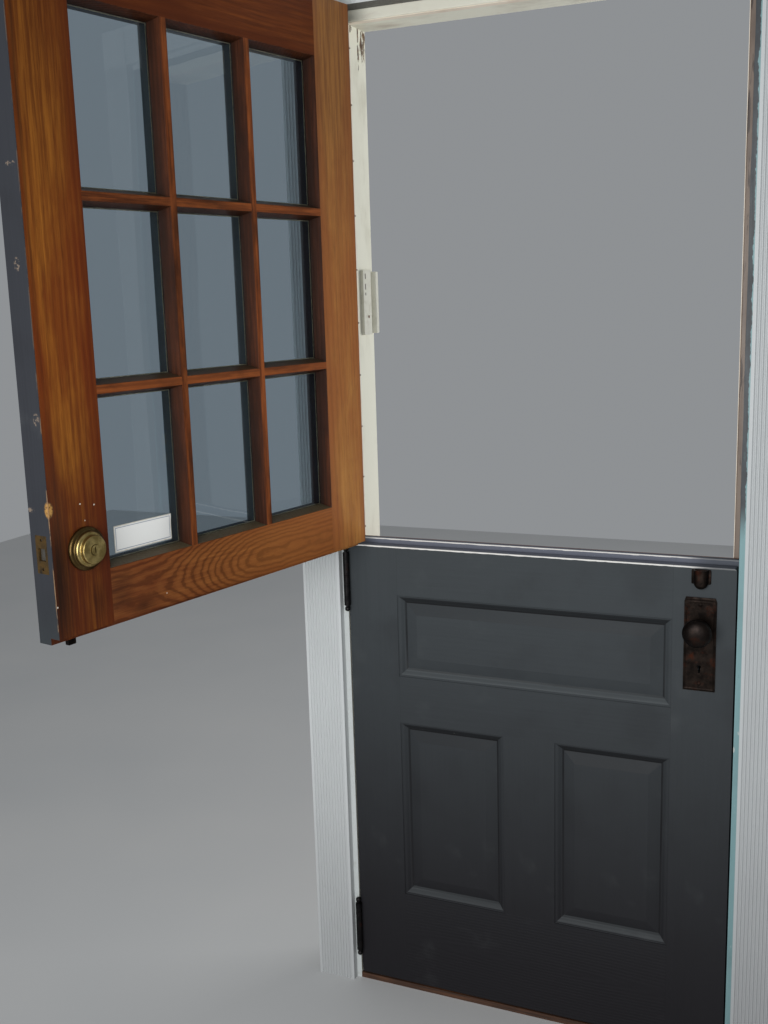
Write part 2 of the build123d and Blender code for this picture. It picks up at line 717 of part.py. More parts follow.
# Round knobs, turned to a flattened ball on a waisted neck, and the square spindle between them
neck_end = lock_plate_thickness + collar_height
knob_half = knob_radius * knob_flat
for label, near, way in (("knob_room", room, -1), ("knob_outer", outer, 1)):
    with BuildPart() as knob:
        with BuildSketch(Plane.XY.offset(knob_level)):
            with BuildLine():
                Polyline((lock_x, near + way * knob_reach), (lock_x, near),
                         (lock_x + knob_neck_radius, near),
                         (lock_x + knob_neck_radius, near + way * neck_end),
                         (lock_x + knob_neck_radius * 0.8, near + way * (neck_end + knob_neck_flare)),
                         (lock_x + knob_neck_radius * 0.9, near + way * (knob_reach - 2 * knob_half)),
                         (lock_x + knob_radius * 0.62, near + way * (knob_reach - 1.75 * knob_half)))
                ThreePointArc((lock_x + knob_radius * 0.62, near + way * (knob_reach - 1.75 * knob_half)),
                              (lock_x + knob_radius, near + way * (knob_reach - knob_half)),
                              (lock_x + knob_radius * 0.62, near + way * (knob_reach - 0.25 * knob_half)))
                ThreePointArc((lock_x + knob_radius * 0.62, near + way * (knob_reach - 0.25 * knob_half)),
                              (lock_x + knob_radius * 0.4, near + way * (knob_reach - 0.07 * knob_half)),
                              (lock_x + knob_radius * 0.15, near + way * knob_reach))
                Line((lock_x + knob_radius * 0.15, near + way * knob_reach),
                     (lock_x, near + way * knob_reach))
            make_face()
        revolve(axis=Axis((lock_x, near, knob_level), (0, 1, 0)))
    keep(knob, label)

with BuildPart() as knob_spindle:
    with BuildSketch(room_plane(room)):
        with Locations((lock_x, knob_level)):
            Rectangle(spindle_side, spindle_side)
    extrude(amount=-leaf_thickness)
keep(knob_spindle, "knob_spindle")

# Keeper for the surface bolt: a plate with a half-round foot and a square loop
keeper_top = ledge - keeper_drop
keeper_foot = keeper_top - keeper_height
shoot_x = lock_x
shoot_back = room - bolt_plate_thickness - shoot_clearance
shoot_front = shoot_back - shoot_thickness
with BuildPart() as bolt_keeper:
    with BuildSketch(room_plane(room)):
        with Locations((shoot_x, keeper_top)):
            Rectangle(keeper_width, keeper_height - keeper_width / 4, align=(Align.CENTER, Align.MAX))
        with Locations((shoot_x, keeper_foot + keeper_width / 3)):
            Circle(keeper_width / 3)
    extrude(amount=keeper_plate_thickness)
    with BuildSketch(room_plane(room - keeper_plate_thickness)):
        with Locations((shoot_x, keeper_foot)):
            Rectangle(shoot_width + 2 * shoot_clearance + 2 * keeper_wall, keeper_loop_height,
                      align=(Align.CENTER, Align.MIN))
    extrude(amount=room - keeper_plate_thickness - (shoot_front - shoot_clearance - keeper_wall))
    fillet(bolt_keeper.edges().filter_by(Axis.Z).group_by(Axis.Y)[0], keeper_wall / 2)
    with BuildSketch(Plane.XY.offset(keeper_foot)):
        with Locations((shoot_x, (shoot_back + shoot_front) / 2)):
            Rectangle(shoot_width + 2 * shoot_clearance, shoot_thickness + 2 * shoot_clearance)
    extrude(amount=keeper_loop_height, mode=Mode.SUBTRACT)
keep(bolt_keeper, "bolt_keeper")

# Upper leaf, drawn closed and then swung open about the hinge pins
glass_left = hinge_edge + upper_stile_width
glass_right = latch_edge - upper_stile_width
glass_bottom = upper_inner_bottom + upper_bottom_rail_height
glass_top = leaves_top - upper_top_rail_height
shoulder = room + shoulder_depth
pane_width = (glass_right - glass_left - (pane_columns - 1) * bar_face) / pane_columns
pane_height = (glass_top - glass_bottom - (pane_rows - 1) * bar_face) / pane_rows
lip_cut = [(ledge_back, upper_inner_bottom), (outer, upper_inner_bottom), (outer, upper_outer_bottom),
           (ledge_back, upper_outer_bottom)]

with BuildPart() as upper_hinge_stile:
    with BuildSketch(Plane.XY.offset(upper_inner_bottom)):
        Polygon((hinge_edge, room), (glass_left + shoulder_width, room),
                (glass_left + shoulder_width, shoulder), (glass_left, shoulder),
                (glass_left, outer), (hinge_edge, outer), align=None)
    extrude(amount=leaves_top - upper_inner_bottom)
    with BuildSketch(Plane.YZ.offset(hinge_edge)):
        Polygon(*lip_cut, align=None)
    extrude(amount=upper_stile_width + shoulder_width, mode=Mode.SUBTRACT)
    screw_holes(upper_hinge_levels)
keep(upper_hinge_stile, "upper_hinge_stile", upper_open)

with BuildPart() as upper_latch_stile:
    with BuildSketch(Plane.XY.offset(upper_inner_bottom)):
        Polygon((latch_edge, room), (glass_right - shoulder_width, room),
                (glass_right - shoulder_width, shoulder), (glass_right, shoulder),
                (glass_right, outer), (latch_edge, outer), align=None)
    extrude(amount=leaves_top - upper_inner_bottom)
    with BuildSketch(Plane.YZ.offset(glass_right - shoulder_width)):
        Polygon(*lip_cut, align=None)
    extrude(amount=upper_stile_width + shoulder_width, mode=Mode.SUBTRACT)
    with BuildSketch(Plane.YZ.offset(latch_edge)):
        with Locations((middle, deadbolt_level)):
            Rectangle(faceplate_width, faceplate_height)
    extrude(amount=-faceplate_thickness, mode=Mode.SUBTRACT)
    with BuildSketch(Plane.YZ.offset(latch_edge)):
        with Locations((middle, deadbolt_level)):
            Circle(bolt_bore_radius)
    extrude(amount=-(backset - rose_bore_radius / 2), mode=Mode.SUBTRACT)
    with BuildSketch(room_plane(room)):
        with Locations((lock_x, deadbolt_level)):
            Circle(rose_bore_radius)
    extrude(amount=-leaf_thickness, mode=Mode.SUBTRACT)
keep(upper_latch_stile, "upper_latch_stile", upper_open)


def notch_rail_ends():
    """Scribe the ends of a rail over the glass shoulders of the stiles, in the active part."""
    with BuildSketch(Plane.XY) as outline:
        for end in (glass_left + shoulder_width / 2, glass_right - shoulder_width / 2):
            with Locations((end, room + shoulder_depth / 2)):
                Rectangle(shoulder_width, shoulder_depth)
    extrude(outline.sketch, amount=leaves_top, mode=Mode.SUBTRACT)


with BuildPart() as upper_meeting_rail:
    with BuildSketch(Plane.YZ.offset(glass_left)):
        Polygon((room, upper_inner_bottom), (ledge_back, upper_inner_bottom),
                (ledge_back, upper_outer_bottom), (outer, upper_outer_bottom), (outer, glass_bottom),
                (shoulder, glass_bottom), (shoulder, glass_bottom + shoulder_width),
                (room, glass_bottom + shoulder_width), align=None)
    extrude(amount=glass_right - glass_left)
    notch_rail_ends()
keep(upper_meeting_rail, "upper_meeting_rail", upper_open)

with BuildPart() as upper_top_rail:
    with BuildSketch(Plane.YZ.offset(glass_left)):
        Polygon((room, leaves_top), (outer, leaves_top), (outer, glass_top), (shoulder, glass_top),
                (shoulder, glass_top - shoulder_width), (room, glass_top - shoulder_width), align=None)
    extrude(amount=glass_right - glass_left)
    notch_rail_ends()
keep(upper_top_rail, "upper_top_rail", upper_open)

# Glazing bars: a narrow web on the outer face over a wider shoulder that the glass lies against
bar_xs = [glass_left + i * pane_width + (i - 0.5) * bar_face for i in range(1, pane_columns)]
bar_zs = [glass_bottom + i * pane_height + (i - 0.5) * bar_face for i in range(1, pane_rows)]
with BuildPart() as vertical_bars:
    for x in bar_xs:
        with BuildSketch(Plane.XY.offset(glass_bottom)):
            with Locations((x, shoulder)):
                Rectangle(bar_face, outer - shoulder, align=(Align.CENTER, Align.MIN))
        extrude(amount=glass_top - glass_bottom)
        with BuildSketch(Plane.XY.offset(glass_bottom + shoulder_width)):
            with Locations((x, room)):
                Rectangle(bar_face + 2 * shoulder_width, shoulder_depth, align=(Align.CENTER, Align.MIN))
        extrude(amount=glass_top - glass_bottom - 2 * shoulder_width)
    inner_arrises = vertical_bars.edges().filter_by(Axis.Z).group_by(Axis.Y)[0]
    chamfer(inner_arrises, shoulder_width / 3)
keep(vertical_bars, "vertical_bars", upper_open)

column_xs = [glass_left + pane_width / 2 + i * (pane_width + bar_face) for i in range(pane_columns)]
row_zs = [glass_bottom + pane_height / 2 + i * (pane_height + bar_face) for i in range(pane_rows)]
with BuildPart() as horizontal_bars:
    for x in column_xs:
        for z in bar_zs:
            with BuildSketch(Plane.YZ.offset(x - pane_width / 2)):
                with Locations((shoulder, z)):
                    Rectangle(outer - shoulder, bar_face, align=(Align.MIN, Align.CENTER))
            extrude(amount=pane_width)
            with BuildSketch(Plane.YZ.offset(x - pane_width / 2 + shoulder_width)):
                with Locations((room, z)):
                    Rectangle(shoulder_depth, bar_face + 2 * shoulder_width, align=(Align.MIN, Align.CENTER))
            extrude(amount=pane_width - 2 * shoulder_width)
    inner_arrises = horizontal_bars.edges().filter_by(Axis.X).group_by(Axis.Y)[0]
    chamfer(inner_arrises, shoulder_width / 3)
keep(horizontal_bars, "horizontal_bars", upper_open)

cells = [(x - pane_width / 2, x + pane_width / 2, z - pane_height / 2, z + pane_height / 2)
         for z in row_zs for x in column_xs]
with BuildPart() as glass_panes:
    with BuildSketch(room_plane(shoulder)):
        for cell in cells:
            window(cell, pane_clearance)
    extrude(amount=-pane_thickness)
keep(glass_panes, "glass_panes", upper_open)

# Sloping glazing beads that hold each pane from the outer side
with BuildPart() as glazing_beads:
    with BuildSketch(room_plane(shoulder + pane_thickness)):
        for cell in cells:
            window(cell)
    extrude(amount=-(outer - shoulder - pane_thickness))
    for cell in cells:
        with BuildSketch(room_plane(shoulder + pane_thickness)):
            window(cell, shoulder_width)
        with BuildSketch(room_plane(outer)):
            window(cell, bead_front_edge)
        loft(mode=Mode.SUBTRACT)
keep(glazing_beads, "glazing_beads", upper_open)

# Deadbolt: face plate and bolt housing in the edge of the latch stile
with BuildPart() as deadbolt_case:
    with BuildSketch(Plane.YZ.offset(latch_edge)):
        with Locations((middle, deadbolt_level)):
            Rectangle(faceplate_width, faceplate_height)
    extrude(amount=-faceplate_thickness)
    with BuildSketch(Plane.YZ.offset(latch_edge - faceplate_thickness)):
        with Locations((middle, deadbolt_level)):
            Circle(bolt_bore_radius - case_bore_clearance)
    extrude(amount=-(backset - rose_bore_radius - faceplate_thickness))
    with BuildSketch(Plane.YZ.offset(latch_edge)):
        with Locations((middle, deadbolt_level)):
            Rectangle(bolt_width + 2 * bolt_slide_clearance, bolt_height + 2 * bolt_slide_clearance)
            with Locations((0, faceplate_height * 0.38), (0, -faceplate_height * 0.38)):
                Circle(screw_radius)
    extrude(amount=-(backset - rose_bore_radius), mode=Mode.SUBTRACT)
keep(deadbolt_case, "deadbolt_case", upper_open)

with BuildPart() as deadbolt:
    with BuildSketch(Plane.YZ.offset(latch_edge - bolt_recess)):
        with Locations((middle, deadbolt_level)):
            Rectangle(bolt_width, bolt_height)
    extrude(amount=-bolt_length)
    fillet(deadbolt.edges().filter_by(Axis.Z).group_by(Axis.X)[-1], bolt_width / 8)
keep(deadbolt, "deadbolt", upper_open)

# Outer rose: a stepped turning with the key plug in its middle
with BuildPart() as deadbolt_rose:
    with BuildSketch(Plane.XY.offset(deadbolt_level)):
        Polygon((lock_x + plug_radius + turn_clearance, outer - rose_boss_depth),
                (lock_x + rose_bore_radius * 0.8, outer - rose_boss_depth),
                (lock_x + rose_bore_radius * 0.8, outer), (lock_x + rose_radius, outer),
                (lock_x + rose_radius, outer + rose_rim * 0.6),
                (lock_x + rose_radius - rose_edge, outer + rose_rim),
                (lock_x + rose_cone_radius, outer + rose_rim),
                (lock_x + rose_face_radius + rose_edge, outer + rose_projection - rose_edge),
                (lock_x + rose_face_radius, outer + rose_projection),
                (lock_x + plug_radius + turn_clearance, outer + rose_projection), align=None)
    revolve(axis=Axis((lock_x, outer, deadbolt_level), (0, 1, 0)))
keep(deadbolt_rose, "deadbolt_rose", upper_open)

with BuildPart() as key_plug:
    with BuildSketch(room_plane(outer - rose_boss_depth)):
        with Locations((lock_x, deadbolt_level)):
            Circle(plug_radius)
    extrude(amount=-(rose_boss_depth + rose_projection + plug_proud))
    with BuildSketch(room_plane(outer + rose_projection + plug_proud)):
        with Locations((lock_x, deadbolt_level)):
            Rectangle(key_slot, key_slot_height)
    extrude(amount=rose_projection * 0.6, mode=Mode.SUBTRACT)
keep(key_plug, "key_plug", upper_open)

with BuildPart() as thumb_rose:
    with BuildSketch(room_plane(room)):
        with Locations((lock_x, deadbolt_level)):
            Circle(inner_rose_radius)
    extrude(amount=inner_rose_thickness)
    fillet(thumb_rose.faces().sort_by(Axis.Y)[0].edges(), inner_rose_thickness / 3)
    with BuildSketch(room_plane(room)):
        with Locations((lock_x, deadbolt_level)):
            Circle(turn_shaft_radius + turn_clearance)
    extrude(amount=inner_rose_thickness, mode=Mode.SUBTRACT)
keep(thumb_rose, "thumb_rose", upper_open)

# Thumb turn with its shaft, and the tailpiece that reaches the key plug
with BuildPart() as thumb_turn:
    with BuildSketch(room_plane(outer - rose_boss_depth)):
        with Locations((lock_x, deadbolt_level)):
            Circle(tailpiece_radius)
    extrude(amount=leaf_thickness - rose_boss_depth)
    with BuildSketch(room_plane(room)):
        with Locations((lock_x, deadbolt_level)):
            Circle(turn_shaft_radius)
    extrude(amount=inner_rose_thickness + 2 * turn_gap)
    with BuildSketch(room_plane(room - inner_rose_thickness - turn_gap)):
        with Locations((lock_x, deadbolt_level)):
            SlotOverall(turn_grip_width, turn_grip_thickness, rotation=90)
    extrude(amount=turn_grip_height)
keep(thumb_turn, "thumb_turn", upper_open)

# Surface bolt: back plate with two guides, and the shoot with its thumb knob
shoot_end = upper_inner_bottom - shoot_hang
plate_bottom = upper_inner_bottom + bolt_plate_lift
grip_level = plate_bottom + guide_height + shoot_down + shoot_neck_radius + shoot_clearance
upper_guide = grip_level + shoot_up + shoot_neck_radius + shoot_clearance
bolt_plate_height = upper_guide + guide_height - plate_bottom
shoot_length = upper_guide + shoot_down + shoot_overrun - shoot_end
with BuildPart() as bolt_plate:
    with BuildSketch(room_plane(room)):
        with Locations((shoot_x, plate_bottom)):
            Rectangle(bolt_plate_width, bolt_plate_height, align=(Align.CENTER, Align.MIN))
    extrude(amount=bolt_plate_thickness)
    for low in (plate_bottom, upper_guide):
        with BuildSketch(room_plane(room - bolt_plate_thickness)):
            with Locations((shoot_x, low)):
                Rectangle(shoot_width + 2 * shoot_clearance + 2 * guide_wall, guide_height,
                          align=(Align.CENTER, Align.MIN))
        extrude(amount=shoot_thickness + 2 * shoot_clearance + guide_wall)
    with BuildSketch(Plane.XY.offset(plate_bottom)):
        with Locations((shoot_x, (shoot_back + shoot_front) / 2)):
            Rectangle(shoot_width + 2 * shoot_clearance, shoot_thickness + 2 * shoot_clearance)
    extrude(amount=bolt_plate_height, mode=Mode.SUBTRACT)
keep(bolt_plate, "bolt_plate", upper_open)

with BuildPart() as bolt_shoot:
    with BuildSketch(Plane.XY.offset(shoot_end)):
        with Locations((shoot_x, (shoot_back + shoot_front) / 2)):
            Rectangle(shoot_width, shoot_thickness)
    extrude(amount=shoot_length)
    chamfer(bolt_shoot.faces().sort_by(Axis.Z)[0].edges(), shoot_thickness / 8)
    with BuildSketch(room_plane(shoot_front)):
        with Locations((shoot_x, grip_level)):
            Circle(shoot_neck_radius)
    extrude(amount=shoot_knob_radius)
    with Locations((shoot_x, shoot_front - shoot_knob_radius * 1.6, grip_level)):
        Sphere(shoot_knob_radius)
keep(bolt_shoot, "bolt_shoot", upper_open)

# Contact sensor on the hinge side's stop: a rounded switch, and the magnet's taller block behind it
switch_front = stop_front + sensor_inset
magnet_front = switch_front + sensor_depth + magnet_gap
with BuildPart() as contact_sensor:
    for front, depth, height, thickness in ((switch_front, sensor_depth, sensor_height, sensor_thickness),
                                            (magnet_front, magnet_depth, magnet_height, magnet_thickness)):
        with BuildSketch(Plane.YZ.offset(-stop_face)):
            with Locations((front + depth / 2, sensor_level)):
                RectangleRounded(depth, height, sensor_thickness / 3)
        extrude(amount=thickness)
    fillet(contact_sensor.faces().group_by(Axis.X)[-1].edges(), sensor_thickness / 5)
keep(contact_sensor, "contact_sensor")

os.makedirs("parts", exist_ok=True)
for piece in pieces:
    export_step(piece, f"parts/{piece.label}.step")
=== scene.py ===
"""Dutch stable door with its frame: finishes, small fittings, camera and studio round the packed frame.

Metres, +Z up, X across the opening with the hinges at -X, Y from the room (-Y) outwards. The lower leaf
is closed. The upper leaf stands open, so its patterns are read in the place it has when it is closed.
"""
import json
import logging
import math
from dataclasses import dataclass
from enum import Enum
from functools import partialmethod
from typing import Self

import bpy
import numpy as np
from mathutils import Matrix, Vector


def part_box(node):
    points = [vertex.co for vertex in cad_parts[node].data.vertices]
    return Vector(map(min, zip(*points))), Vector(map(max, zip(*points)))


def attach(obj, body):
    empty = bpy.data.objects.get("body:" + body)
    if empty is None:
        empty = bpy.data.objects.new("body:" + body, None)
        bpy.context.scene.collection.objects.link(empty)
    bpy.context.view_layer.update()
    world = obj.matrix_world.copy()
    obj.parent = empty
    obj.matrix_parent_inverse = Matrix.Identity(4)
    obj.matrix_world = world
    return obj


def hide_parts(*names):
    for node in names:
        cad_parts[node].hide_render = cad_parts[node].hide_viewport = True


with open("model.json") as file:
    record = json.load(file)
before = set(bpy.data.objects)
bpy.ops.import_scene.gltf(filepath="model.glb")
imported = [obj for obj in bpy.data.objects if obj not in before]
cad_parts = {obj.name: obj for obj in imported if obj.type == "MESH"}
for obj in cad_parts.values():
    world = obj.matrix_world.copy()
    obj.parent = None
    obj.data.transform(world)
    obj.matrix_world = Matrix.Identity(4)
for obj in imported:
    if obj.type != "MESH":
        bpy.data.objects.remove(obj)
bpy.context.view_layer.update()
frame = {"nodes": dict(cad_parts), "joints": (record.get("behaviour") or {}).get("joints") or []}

LOG = logging.getLogger("stable_door")
SWING = next(joint for joint in frame["joints"] if joint["name"] == "upper_leaf_swing")
PIN = Vector((*SWING["pos_m"][:2], 0))
OPENED = SWING["range_deg"][1]
MM = 0.001
FULL_TURN = 2 * np.pi
BOARD_MIDDLE = 0.0478
OUTER_FACE = -0.0256
Colour = str
Material = bpy.types.Material
Pair = tuple[float, float]
Triple = tuple[float, float, float]
ZERO, ONE = (0, 0, 0), (1, 1, 1)


def tint(colour: Colour) -> tuple[float, ...]:
    """Linear, opaque colour for a display colour written as six hex digits."""
    shown = np.array([*bytes.fromhex(colour), 255], float) / 255
    return tuple(np.where(shown <= 0.04045, shown / 12.92, ((shown + 0.055) / 1.055) ** 2.4).tolist())


class Grain(Enum):
    """The way a board's grain runs on the closed door, as the turn that lays it along X."""

    UPRIGHT = (0, 90, 0)
    ACROSS = (0, 0, 0)


class Side(Enum):
    """The kinds of board on a leaf, with the Y at which the varnish meets the paint."""

    RAIL = -0.029
    PANEL = -0.0478
    SASH = -0.0482


class Flow:
    """A result in a material's node tree: coordinates, a value or a colour. Each step from it adds nodes."""

    def __init__(self, shader: "Shader", socket: bpy.types.NodeSocket) -> None:
        """Keep the tree and the result's socket."""
        self.shader, self.socket = shader, socket

    def sum(self, kind: str, other: Self | float = 0) -> Self:
        """One sum with another value, by its name, such as MAXIMUM."""
        return self.shader.node("Math", {0: self, 1: other}, operation=kind)

    __add__ = partialmethod(sum, "ADD")
    __sub__ = partialmethod(sum, "SUBTRACT")
    __mul__ = partialmethod(sum, "MULTIPLY")
    __abs__ = partialmethod(sum, "ABSOLUTE")

    def __rsub__(self, other: float) -> Self:
        """Number less the value."""
        return self.shader.node("Math", {0: other, 1: self}, operation="SUBTRACT")

    def apart(self, other: Self) -> Self:
        """Length of the slant over two distances."""
        return (self * self + other * other).sum("SQRT")

    def spread(self, width: float) -> Self:
        """Clouds from 0 to 1 as a shift either way, of so many metres in all."""
        return (self - 0.5) * width

    def band(self, low: float, high: float, at_low: float = 0, at_high: float = 1) -> Self:
        """Smooth step of a value: one result below the low end, another beyond the high end."""
        inputs = {"Value": self, "From Min": low, "From Max": high, "To Min": at_low, "To Max": at_high}
        return self.shader.node("MapRange", inputs, "Result", interpolation_type="SMOOTHSTEP")

    def mapped(self, shift: Triple = ZERO, turn: Triple = ZERO, scale: Triple = ONE) -> Self:
        """Coordinates scaled, then turned by degrees, then shifted."""
        turn = [math.radians(angle) for angle in turn]
        return self.shader.node("Mapping", {"Vector": self, "Location": shift, "Rotation": turn, "Scale": scale})

    def scaled(self, x: float, y: float, z: float) -> Self:
        """Coordinates scaled along each axis."""
        return self.mapped(scale=(x, y, z))

    def axes(self) -> tuple[Self, ...]:
        """X, Y and Z of coordinates."""
        split = self.shader.node("SeparateXYZ", {0: self}).socket.node
        return tuple(Flow(self.shader, part) for part in split.outputs)

    def noise(self, scale: float, detail: float = 3, rough: float = 0.55) -> Self:
        """Clouds from 0 to 1: how many in a metre, their octaves and the strength of the finer ones."""
        return self.shader.node("TexNoise", {"Vector": self, "Scale": scale, "Detail": detail, "Roughness": rough})

    def rings(self, spacing: float, waver: float, fine: float) -> Self:
        """Growth rings round the X axis, so far apart: a sine of the distance from it, bent by clouds."""
        inputs = {"Vector": self, "Scale": FULL_TURN / 20 / spacing, "Distortion": waver, "Detail": 3,
                  "Detail Scale": fine / (FULL_TURN / 20 / spacing), "Detail Roughness": 0.6}
        return self.shader.node("TexWave", inputs, "Fac", wave_type="RINGS", rings_direction="X")

    def cells(self, scale: float) -> Self:
        """Distance to the nearest of scattered points, in cells, of which a metre holds so many."""
        return self.shader.node("TexVoronoi", {"Vector": self, "Scale": scale}, "Distance")

    def near(self, centre: Triple, radius: float, soft: float, reach: Triple = ONE) -> Self:
        """Mask that is 1 inside an ellipsoid: its middle, radius, half its soft edge and its reach along each axis."""
        inputs = {0: self.mapped([-c / r for c, r in zip(centre, reach)], scale=[1 / r for r in reach])}
        return self.shader.node("VectorMath", inputs, "Value", operation="LENGTH").band(
            radius - soft, radius + soft, 1, 0)

    def mix(self, amount: Self | float, over: Self | Colour, kind: str = "MIX") -> Self:
        """Colour with a share of another laid over it."""
        return self.shader.mix(amount, self, over, kind)

    def ramp(self, *stops: tuple[float, Colour]) -> Self:
        """Colours along a value.

        Args:
            *stops: Place and colour of each stop.

        Returns:
            The colour.
        """
        made = self.shader.node("ValToRGB", {0: self})
        elements = made.socket.node.color_ramp.elements
        while len(elements) < len(stops):
            elements.new(0.5)
        for element, (place, colour) in zip(elements, stops):
            element.position, element.color = place, tint(colour)
        return made

    def bump(self, strength: float, depth: float) -> Self:
        """Relief from a height: the share of it shown and its depth in metres."""
        return self.shader.node("Bump", {"Strength": strength, "Distance": depth, "Height": self})


class Shader:
    """A material's node tree, put together from named steps that read the piece's own coordinates."""

    def __init__(self, name: str) -> None:
        """Start an empty tree with one surface shader.

        Args:
            name: Name of the material.
        """
        self.material = bpy.data.materials.new(name)
        self.material.use_nodes = True
        self.tree = self.material.node_tree
        self.tree.nodes.clear()
        self.surface = self.tree.nodes.new("ShaderNodeBsdfPrincipled")
        output = self.tree.nodes.new("ShaderNodeOutputMaterial")
        self.tree.links.new(self.surface.outputs[0], output.inputs["Surface"])
        self.place = self.node("TexCoord", {}, "Object")

    def feed(self, node: bpy.types.Node, inputs: dict) -> None:
        """Link each input to a result, or set it to a plain value.

        Args:
            node: Node that is fed.
            inputs: Result, number, vector or colour for each input.
        """
        for key, value in inputs.items():
            if isinstance(value, Flow):
                self.tree.links.new(value.socket, node.inputs[key])
            else:
                node.inputs[key].default_value = tint(value) if isinstance(value, Colour) else value

    def node(self, kind: str, inputs: dict, output: str | int = 0, **settings: str) -> Flow:
        """Add a node.

        Args:
            kind: Blender's name of its type, without the words before it.
            inputs: Result, number, vector or colour for each input.
            output: Output that is read.
            **settings: Its other settings.

        Returns:
            The result.
        """
        made = self.tree.nodes.new("ShaderNode" + kind)
        for key, value in settings.items():
            setattr(made, key, value)
        self.feed(made, inputs)
        return Flow(self, made.outputs[output])

    def mix(self, amount: Flow | float, first: Flow | Colour, second: Flow | Colour, kind: str = "MIX") -> Flow:
        """Blend of two colours, with the share of the second."""
        return self.node("Mix", {0: amount, 6: first, 7: second}, 2, data_type="RGBA", blend_type=kind)

    def up(self) -> Flow:
        """How far a face looks up: Z of its normal."""
        return self.node("NewGeometry", {}, "True Normal").axes()[2]

    def closed_place(self) -> Flow:
        """Coordinates that a point of the upper leaf has when the leaf is closed."""
        back = Matrix.Rotation(math.radians(OPENED), 3, "Z")
        return self.place.mapped(tuple(PIN - back @ PIN), (0, 0, OPENED))

    def finish(self, colour: Flow | Colour, rough: Flow | float, **more: Flow | float) -> Material:
        """Feed the surface shader.

        Args:
            colour: Its base colour.
            rough: Its roughness.
            **more: Its other inputs, with _ for a space in their names.

        Returns:
            The finished material.
        """
        more = {key.replace("_", " "): value for key, value in more.items()}
        self.feed(self.surface, {"Base Color": colour, "Roughness": rough} | more)
        return self.material


@dataclass(frozen=True)
class LeafPaint:
    """Slate paint, brushed on along the grain, darker towards the floor, chipped to white here and there."""

    # high and low: colour of the paint up high and near the floor; the change between them is painted shade.
    high: Colour = "43484b"
    low: Colour = "232225"
    dark_level: float = 0.05
    light_level: float = 1
    # The next three: how much up faces take the dust colour, a painted highlight where it is pale and painted shade
    # where it is dark; then how much down faces are darkened as painted shade.
    up_face_shading: float = 0
    dust: Colour = "707678"
    under_face_shade: float = 0.7
    recess_shade: Pair | None = None
    # Near-white of the ledge's worn front edges; it is also a painted highlight there.
    worn: Colour = "eeece8"

    def lay(self, at: Flow, board: Flow, ledge: float | None) -> tuple[Flow, Flow]:
        """Lay the paint.

        Args:
            at: Coordinates of the closed door.
            board: Coordinates with X along the grain.
            ledge: Level of the worn front edge of the ledge, or None where there is none.

        Returns:
            The colour and the roughness.
        """
        _, y, z = at.axes()
        # Painted shade: the paint goes from the low colour near the floor to the high colour further up, standing in
        # for light that falls off downwards.
        colour = at.shader.mix(z.band(self.dark_level, self.light_level), self.low, self.high)
        strokes = board.scaled(1, 42, 42).noise(7, 4, 0.6)
        colour = colour.mix(0.12, strokes.ramp((0.3, "545456"), (0.72, "acacac")), "OVERLAY")
        blotch = board.noise(7, 4)
        colour = colour.mix(blotch.band(0.5, 0.75, 0, 0.2), "222123")
        colour = colour.mix(blotch.band(0.28, 0.42, 0.1, 0), "6c7070")
        colour = colour.mix(at.cells(17).band(0.016, 0.024, 1, 0) * at.noise(5, 1).band(0.56, 0.62), "969692")
        if ledge is not None:
            colour = self.wear_and_highlight_ledge(at, colour, ledge)
        # Painted shade: the recess of the moulding, found by its depth, goes near-black.
        if self.recess_shade:
            colour = colour.mix(y.band(*self.recess_shade) * blotch.band(0.3, 0.6, 0.9, 0.6), "161618")
        # Painted light: faces that look up take the dust colour as a painted highlight, or as painted shade on the
        # panels; faces that look down are darkened as painted shade.
        if self.up_face_shading:
            up = at.shader.up()
            colour = colour.mix(up.band(0.1, 0.45, 0, self.up_face_shading), self.dust)
            colour = colour.mix(up.band(-0.4, -0.05, self.under_face_shade, 0), "161618")
        return colour, strokes.band(0.2, 0.8, 0.52, 0.66)

    def wear_and_highlight_ledge(self, at: Flow, colour: Flow, ledge: float) -> Flow:
        """Wear the ledge's top pale and its two front edges to the ground coat.

        Args:
            at: Coordinates of the closed door.
            colour: Colour of the paint.
            ledge: Level of the front edge.

        Returns:
            The worn colour.
        """
        x, y, z = at.axes()
        jagged = at.scaled(1, 6, 6).noise(60, 3).spread(0.0022)
        # Painted highlight and wear: the ledge's top and the arrises of its two front edges are lightened, fading
        # towards the latch end.
        colour = colour.mix(z.band(ledge - 0.001, ledge - 0.0004) * x.band(0.28, 0.34, 0.55, 0.25), "808494")
        for front, level, reach, until in ((-0.07, ledge, 0.0028, 0.33), (-0.0425, ledge + 0.01, 0.0024, 0.31)):
            gap = (y - front).apart(z - level) + jagged
            colour = colour.mix(gap.band(reach * 0.75, reach, 1, 0) * x.band(until - 0.045, until + 0.015, 1, 0.15),
                                self.worn)
        return colour


